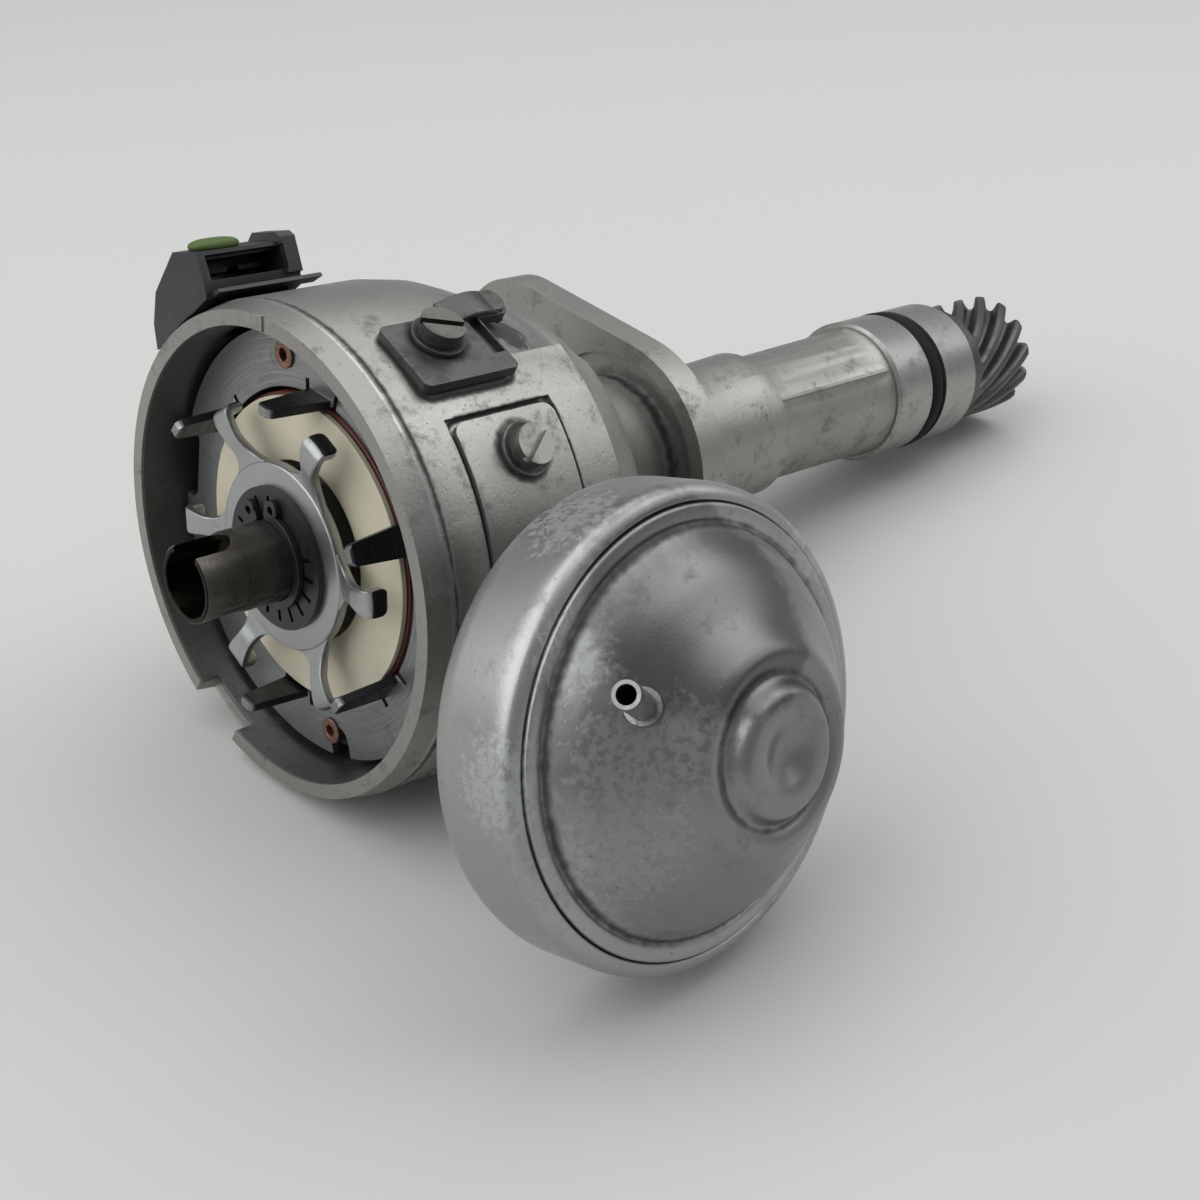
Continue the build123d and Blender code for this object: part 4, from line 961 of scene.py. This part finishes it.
# ---------------------------------------------------------------- sub-assemblies
@dataclass
class VacuumUnit:
    """Pressed can on the bowl: cup, cover, diaphragm, spring, hose stub and bracket."""

    shop: Workshop
    along: float = 19.9
    tilt: float = 16.6
    seam: float = 81.0
    offset: float = 24.4
    depth: float = 17.7
    dome: float = 18.6
    hole: float = 4.5
    slack: float = 0.01
    spring_foot: float = -2.3
    spring_pitch: float = 4.2
    spring_turns: int = 4
    pull: float = 3.41

    def place(self) -> Place:
        """Local frame on the can's seam: x along the shaft, z out along the can's axis.

        Returns:
            The local frame.
        """
        turn = np.radians(self.tilt)
        cos, sin = float(np.cos(turn)), float(np.sin(turn))
        return Place((self.along, -self.seam * cos - self.offset * sin,
                      self.seam * sin - self.offset * cos),
                     ALONG_SHAFT, (0.0, sin, cos), (0.0, -cos, sin))

    def cup(self, rim: float) -> None:
        """Turns the cup with its rounded edge and its lip folded over the cover.

        Args:
            rim: The cup's radius.
        """
        deep = -self.depth
        outline = ((self.hole, deep), (rim - 3.4, deep), (rim - 0.9, deep + 0.9),
                   (rim, deep + 3.4), (rim, -3.0), (rim - 0.3, -1.5), (rim - 1.1, -0.45),
                   (rim - 2.2, -0.02), (rim - 2.9, -0.1), (rim - 3.0, -1.0), (rim - 1.5, -1.0),
                   (rim - 1.5, -3.6), (rim - 2.6, -3.6), (rim - 2.6, deep + 3.0),
                   (rim - 4.0, deep + 1.4), (self.hole, deep + 1.4))
        self.shop.turned("can_cup", round_corners(outline, 1.4), CAN_STEPS,
                         self.place(), "vacuum_cup")

    def cover(self, rim: float) -> None:
        """Turns the cover: rim, groove, curved flank, ridge, groove, plateau and dimple.

        Args:
            rim: The cup's radius.
        """
        top = self.dome
        outline = (
            (rim - 1.6, -2.3), (rim - 1.6, -1.1), (rim - 3.1, -1.1), (rim - 3.15, 0.25),
            (rim - 3.6, 0.6), (rim - 5.4, 0.6), (rim - 6.1, 0.1), (rim - 6.8, 0.8),
            (0.79 * rim, 2.6), (0.745 * rim, 4.9), (0.68 * rim, 7.2), (0.60 * rim, 9.4),
            (0.52 * rim, 11.7), (0.455 * rim, 14.2), (0.415 * rim, 15.8), (0.38 * rim, 16.5),
            (0.34 * rim, 16.3), (0.30 * rim, 15.5), (0.275 * rim, 16.2),
            (0.25 * rim, top - 0.6), (0.22 * rim, top), (0.15 * rim, top),
            (0.09 * rim, top - 1.0), (0.04 * rim, top - 1.7), (-2.0, top - 1.9),
            (-2.0, top - 2.9),
            (0.235 * rim, top - 2.9), (0.26 * rim, 14.3), (0.37 * rim, 15.0),
            (0.44 * rim, 12.4), (0.585 * rim, 7.9), (0.72 * rim, 3.6), (0.765 * rim, 1.4),
            (rim - 7.8, -0.6), (rim - 4.4, -0.9), (rim - 4.4, -2.3))
        profile = round_corners(outline, 3.0, 6)
        profile[:, 0] = np.maximum(profile[:, 0], 0.0)
        self.shop.turned("can_cover", profile, CAN_STEPS, self.place(), "vacuum_cover")

    def skin(self, rim: float) -> None:
        """Diaphragm: its rolled rim stays in the can and its middle rides with the plates.

        Args:
            rim: The cup's radius.
        """
        roll = ((rim - 1.65, -3.5), (rim - 1.65, -2.4), (rim - 5.2, -2.4), (rim - 8.0, -6.4),
                (rim - 12.1, -6.4), (rim - 13.1, -4.2), (rim - 13.7, -4.2),
                (rim - 13.7, -4.7), (rim - 13.9, -4.9), (rim - 13.0, -7.4),
                (rim - 7.2, -7.4), (rim - 4.4, -3.5))
        self.shop.turned("diaphragm_roll", round_corners(roll, 0.6), RING_STEPS,
                         self.place(), "diaphragm")
        middle = np.array([(rim - 14.3, -4.0), (2.2, -4.0), (2.2, -4.9), (rim - 14.3, -4.9)])
        self.shop.turned("diaphragm_middle", middle, RING_STEPS, self.place(),
                         "pull_rod", slot="black_rubber", stands_for=False)

    def spring(self) -> None:
        """Return spring: a softened copy of the node with a mesh of its own."""
        piece = self.shop.soften("return_spring", 0.3)
        place = self.place()
        length = self.spring_pitch * self.spring_turns
        top = place.put(np.array([[0.0, 0.0, self.spring_foot + length]]))[0] * MM
        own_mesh(piece)

    def build(self) -> None:
        """Builds the can and softens the sheet pieces that hold it."""
        low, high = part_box("vacuum_cup")
        rim = 0.5 * (high[0] - low[0]) / MM - self.slack
        self.cup(rim)
        self.cover(rim)
        self.skin(rim)
        self.spring()
        self.shop.soften("vacuum_bracket", 0.35, slot="cast_alloy")
        self.shop.soften_each(bracket_washers=0.2, bracket_screws=0.35, hose_nipple=0.25)


@dataclass
class DriveEnd:
    """Skew gear and the sealing ring of the stem."""

    shop: Workshop
    teeth: int = 13
    start: float = 196.0
    length: float = 26.0
    collar: float = 4.6
    tip: float = 14.6
    root: float = 11.5
    bore: float = 6.4
    first_gap: float = 88.0
    helix: float = 2.92
    helix_from: float = 203.5
    run_out: float = 3.4
    chamfer: float = 0.45
    cord: float = 1.9
    steep: float = 2.6
    narrow: float = 0.12

    def gear(self) -> None:
        """Skew gear: the radius follows a flat-topped wave round the shaft that turns along it.

        The wave is the cosine of the teeth times the angle, less the helix, pushed towards
        its ends by a hyperbolic tangent. Near the boss the gaps run out in a rounded ramp.
        """
        along = np.concatenate([[0.0, 0.35], np.linspace(1.2, self.length - 0.9, 64),
                                [self.length - self.chamfer, self.length]])
        x, angle = np.meshgrid(along, circle(self.teeth * 28), indexing="ij")
        centre = np.radians(self.first_gap) - np.radians(self.helix) * (
            x + self.start - self.helix_from)
        wave = -np.cos(self.teeth * (angle - centre))
        top = np.tanh(self.steep * (1.0 + self.narrow))
        wave = 0.5 + 0.5 * np.tanh(self.steep * (wave + self.narrow)) / top
        ramp = np.clip((x - self.collar) / self.run_out, 0.0, 1.0)
        depth = (self.tip - self.root) * np.sqrt(1.0 - (1.0 - ramp) ** 2)
        radius = self.tip - depth * (1.0 - wave)
        edge = np.clip(1.0 - np.minimum(x, self.length - x) / self.chamfer, 0.0, 1.0)
        radius = radius - self.chamfer * edge * (radius > self.root)
        skin, hole = (np.stack([reach * np.cos(angle), reach * np.sin(angle),
                                x + self.start], -1) for reach in (radius, self.bore))
        self.shop.shell("skew_gear", [(np.concatenate([skin, hole[::-1]]), True, True)],
                        GEAR_AXES, ["drive_gear"], crease=50.0)

    def ring(self) -> None:
        """Sealing ring: a round cord, flattened on its sides, turned about the shaft."""
        low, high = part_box("stem_o_ring")
        middle, outer = 0.5 * (low[0] + high[0]) / MM, high[2] / MM
        half = 0.5 * (high[0] - low[0]) / MM
        turn = circle(28)
        flat = np.clip(half * 1.12 * np.cos(turn), -half, half)
        profile = np.column_stack([outer - self.cord + self.cord * np.sin(turn),
                                   middle + flat])
        self.shop.turned("seal_ring", profile, RING_STEPS, SHAFT, "stem_o_ring")

    def build(self) -> None:
        """Builds the gear end."""
        self.gear()
        self.ring()


@dataclass
class PickupSet:
    """Timing parts in the bowl: trigger wheel, posts, coil, carrier, plate and rotor tube."""

    shop: Workshop
    arms: int = 6
    tip: float = 28.2
    first_arm: float = 5.5
    low: float = 2.6
    thick: float = 2.2
    ring: float = 17.3
    bore: float = 7.35
    sleeve: float = 11.05
    sleeve_end: float = 13.6
    sheet: float = 1.6
    arm_half: float = 1.75
    root_swell: float = 4.4
    root_reach: float = 2.3
    tip_swell: float = 0.75
    tip_reach: float = 6.0
    tip_round: float = 0.9
    ribs: int = 14
    rib_depth: float = 0.34
    coil_wall: float = 7.6

    def arm_path(self) -> Array:
        """Middle line of an arm, as radius and place along the shaft, run through smoothly.

        The arm leaves the ring, rises towards the mouth and bends back along the shaft.

        Returns:
            The line, as rows of coordinates.
        """
        tip, low = self.tip, self.low
        bend = ((15.6, low + 1.1), (17.6, low + 1.05), (19.8, low + 0.45),
                (22.4, low - 0.75), (24.8, low - 1.25), (26.4, low - 1.35),
                (tip - 1.15, low - 1.05), (tip - 0.85, low - 0.3),
                (tip - 0.82, low + 0.8), (tip - 0.82, low + 2.1))
        return run_through(bend, 46, (1.0, 2.0, 3.0, 2.0, 1.0))

    def arm(self, angle: float) -> Array:
        """One arm: a rounded oblong carried along the arm's middle line.

        Its half width falls off the ring as an exponential, is least halfway and swells at
        the tip, whose corners are round.

        Args:
            angle: Degrees round the shaft.

        Returns:
            A grid whose rows are closed sections.
        """
        path = self.arm_path()
        run = np.concatenate([[0.0], np.cumsum(np.linalg.norm(np.diff(path, axis=0), axis=1))])
        left = run[-1] - run
        root = self.root_swell * np.exp(-(run / self.root_reach) ** 1.5)
        tip = self.tip_swell / (1.0 + np.exp(left - self.tip_reach))
        end = self.tip_round * (1.0 - np.sqrt(np.clip(left / 1.2, 0.0, 1.0)))
        wide = self.arm_half + root + tip - end
        loop = round_corners(((-1, -1), (1, -1), (1, 1), (-1, 1)), 0.3, 4)
        thick = 0.5 * self.sheet * (0.6 + 0.4 * np.clip(left / 0.5, 0.0, 1.0))
        radius, height, across = ribbon(path, loop, wide, thick)
        cos, sin = np.cos(np.radians(angle)), np.sin(np.radians(angle))
        return capped(np.stack([radius * cos - across * sin, radius * sin + across * cos,
                                height], -1))

    def wheel(self) -> None:
        """Trigger wheel: a rounded ring and sleeve turned about the shaft, and its arms."""
        low, high, ring = self.low, self.low + self.thick, self.ring
        section = ((self.bore, low), (ring - 0.1, low), (ring, high), (self.sleeve, high),
                   (self.sleeve, self.sleeve_end), (self.bore, self.sleeve_end))
        grids = [(lathe(round_corners(section, 0.45, 4), RING_STEPS), True, True)]
        grids += [(self.arm(self.first_arm + 360.0 / self.arms * count), False, True)
                  for count in range(self.arms)]
        self.shop.shell("timing_wheel", grids, SHAFT, ["trigger_wheel"])

    def coil(self) -> None:
        """Coil: windings seen as fine rounded ribs round the former."""
        low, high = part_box("coil_winding")
        outer, start, stop = high[2] / MM, low[0] / MM, high[0] / MM
        step = np.linspace(0.0, 1.0, self.ribs * 6 + 1)
        rib = outer - self.rib_depth * (1.0 - np.abs(np.sin(np.pi * self.ribs * step)))
        skin = np.column_stack([rib, start + (stop - start) * step])
        back = np.array([(outer - self.coil_wall, stop), (outer - self.coil_wall, start)])
        self.shop.turned("coil_turns", np.vstack([skin, back]), COIL_STEPS, SHAFT,
                         "coil_winding")

    def build(self) -> None:
        """Builds the wheel and coil and softens the pressed and turned pieces."""
        self.wheel()
        self.coil()
        self.shop.soften_each(hub_washer=0.18, snap_ring=0.2, stator_plate=0.25,
                              pickup_carrier=0.25, rotor_shaft=0.25, stator_eyelets=0.3,
                              coil_former=0.2)


@dataclass
class WallPieces:
    """What sits on the bowl's outside: wiring socket with its seal, and the clip bracket."""

    shop: Workshop
    clip_x: float = 20.0
    clip_angle: float = 66.0
    clip_seat: float = 45.3
    tab_aside: float = 5.6
    tab_half: float = 2.7
    tab_thick: float = 1.5
    seal_half: Pair = (4.6, 3.1)
    seal_rise: float = 1.25
    seal_sink: float = 0.35

    def seal(self) -> None:
        """Seal on the socket: a soft pillow, a rounded oblong that bulges in the middle."""
        low, high = (np.array(corner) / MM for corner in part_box("connector_seal"))
        v, u = np.meshgrid(np.linspace(0.0, np.pi, 25), circle(48), indexing="ij")
        half_x, half_y = self.seal_half
        grid = np.stack([half_x * squared_up(np.sin(v), 0.7) * squared_up(np.cos(u), 0.75),
                         half_y * squared_up(np.sin(v), 0.7) * squared_up(np.sin(u), 0.75),
                         self.seal_rise * squared_up(np.cos(v), 0.9) - self.seal_sink], -1)
        place = Place(tuple(0.5 * (low + high)), ALONG_SHAFT, (0.0, 0.968, -0.252),
                      (0.0, 0.252, 0.968))
        self.shop.shell("socket_seal", [(grid, False, True)], place, ["connector_seal"])

    def tab(self) -> None:
        """Rolled tab of the clip bracket: a strip that arches over the wall's round seat."""
        arch = ((25.5, 0.9), (27.0, 1.3), (29.0, 2.0), (31.2, 2.4), (33.4, 2.3),
                (35.3, 1.7), (36.6, 0.6), (37.0, -0.3))
        line = run_through(arch, 29, np.ones(5))
        side, thick = self.tab_half, 0.5 * self.tab_thick
        loop = round_corners(((-side, -thick), (side, -thick), (side, thick),
                              (-side, thick)), 0.35, 4)
        same = np.ones(len(line))
        along, out, across = ribbon(line, loop, same, same)
        grid = np.stack([along - self.clip_x, across + self.tab_aside, out], -1)
        place = on_wall(self.clip_x, self.clip_angle, self.clip_seat)
        self.shop.shell("clip_tab", [(capped(grid), False, True)], place, ["clip_bracket"],
                        stands_for=False)

    def build(self) -> None:
        """Builds the seal and tab and softens the socket and the clip's pieces."""
        self.seal()
        self.tab()
        self.shop.soften_each(connector_body=0.4, clip_bracket=0.4, clip_washer=0.2,
                              clip_screw=0.35)


# ---------------------------------------------------------------- stage
@dataclass
class Studio:
    """Camera, lamps, world and floor."""

    position: Triple = (-0.15513, -0.22384, 0.13362)
    right: Triple = (0.7101, -0.6982, 0.0912)
    down: Triple = (-0.2599, -0.3802, -0.8876)
    forward: Triple = (0.6544, 0.6066, -0.4515)
    lens: float = 50.95
    sensor: float = 36.0
    floor_normal: Triple = (-0.1335, 0.0, 0.991)
    floor_point: Triple = (0.0045, 0.0, -0.0456)
    floor_half: float = 4.0
    cloth: Triple = (0.54, 0.545, 0.525)
    fade: Pair = (1.1, 3.0)
    aim: Triple = (0.06, -0.02, 0.0)
    lamps: tuple[tuple[str, Triple, float, float], ...] = (
        ("window", (-0.85, 0.35, 0.75), 1.6, 14.0),
        ("ceiling", (0.40, 0.08, 1.15), 1.4, 8.5),
        ("front", (0.72, -0.48, 0.84), 0.9, 3.2))

    def camera(self) -> None:
        """Places the camera with the measured axes and lens."""
        data = bpy.data.cameras.new("camera")
        data.lens, data.sensor_width = self.lens, self.sensor
        data.clip_start, data.clip_end = 0.01, 20.0
        data.dof.use_dof = False
        camera = show("camera", data)
        rows = (Vector(self.right), -Vector(self.down), -Vector(self.forward))
        turn = Matrix(rows).transposed().to_4x4()
        camera.matrix_world = Matrix.Translation(self.position) @ turn
        bpy.context.scene.camera = camera

    def lamp(self, name: str, spot: Triple, size: float, watts: float) -> None:
        """Adds one square area lamp.

        Args:
            name: The lamp's name.
            spot: Where it hangs.
            size: Side of the square in metres.
            watts: Its power.
        """
        data = bpy.data.lights.new(name, "AREA")
        data.size, data.energy = size, watts
        lamp = show(name, data)
        lamp.location = spot
        lamp.rotation_mode = "QUATERNION"
        lamp.rotation_quaternion = (Vector(self.aim) - Vector(spot)).to_track_quat("-Z", "Y")

    def floor(self) -> None:
        """Lays a wide plain floor under the object, which fades into the sky far away."""
        corner = np.array([(-1, -1, 0), (1, -1, 0), (1, 1, 0), (-1, 1, 0)]) * self.floor_half
        mesh = bpy.data.meshes.new("floor")
        mesh.from_pydata(corner.tolist(), [], [(0, 1, 2, 3)])
        floor = show("floor", mesh)
        floor.rotation_mode = "QUATERNION"
        normal = Vector(self.floor_normal).normalized()
        floor.rotation_quaternion = normal.to_track_quat("Z", "Y")
        floor.location = self.floor_point
        material = bpy.data.materials.new("stage_cloth")
        material.use_nodes = True
        graph = Graph(material.node_tree)
        away = graph.add("VectorMath", {0: graph.object_space()}, operation="LENGTH")
        far = graph.ramp(away.outputs["Value"], *self.fade)
        black, sky = opaque((0.0, 0.0, 0.0)), opaque([part * SKY_LEVEL for part in SKY])
        color = graph.mix(far, opaque(self.cloth), black)
        shader = graph.add("BsdfPrincipled", {"Base Color": color,
                                              "Emission Color": graph.mix(far, black, sky),
                                              "Emission Strength": 1.0, "Roughness": 0.9})
        graph.add("OutputMaterial", {0: shader.outputs[0]})
        mesh.materials.append(material)
        floor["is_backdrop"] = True

    def world(self) -> None:
        """Fills the surroundings with a plain pale sky."""
        world = bpy.data.worlds.new("surroundings")
        bpy.context.scene.world = world
        world.use_nodes = True
        graph = Graph(world.node_tree)
        back = graph.add("Background", {"Color": opaque(SKY), "Strength": SKY_LEVEL})
        graph.add("OutputWorld", {0: back.outputs[0]})

    def build(self) -> None:
        """Sets the whole stage."""
        bpy.context.scene.view_settings.view_transform = "Standard"
        self.camera()
        self.world()
        self.floor()
        for name, spot, size, watts in self.lamps:
            self.lamp(name, spot, size, watts)
        LOG.info("stage set")


def dress_frame(materials: dict[str, bpy.types.Material], slots: dict[str, str]) -> None:
    """Gives every CAD node the finish of its slot.

    Args:
        materials: Slot name to material.
        slots: Node name to slot name.
    """
    for name, node in frame["nodes"].items():
        node.data.materials.clear()
        node.data.materials.append(materials[slots[name]])
        LOG.info("node %s takes %s", name, slots[name])


def main() -> None:
    """Dresses the frame, builds the finer pieces and sets the stage."""
    sizes: dict[str, list[list[float]]] = {}
    dump_size("cad", sizes)
    materials = {finish.slot: finish.build() for finish in FINISHES}
    record = frame["record"]
    slots = {part["node"]: part["material_slot"] for part in record["subparts"]}
    bodies = {node: body for body, nodes in record["behaviour"]["bodies"].items()
              for node in nodes}
    dress_frame(materials, slots)
    shop = Workshop(materials, slots, bodies)
    shop.soften("housing", 0.5)
    for assembly in (VacuumUnit(shop), DriveEnd(shop), PickupSet(shop), WallPieces(shop)):
        assembly.build()
    Studio().build()
    dump_size("visual", sizes)


if __name__ == "__main__":
    main()
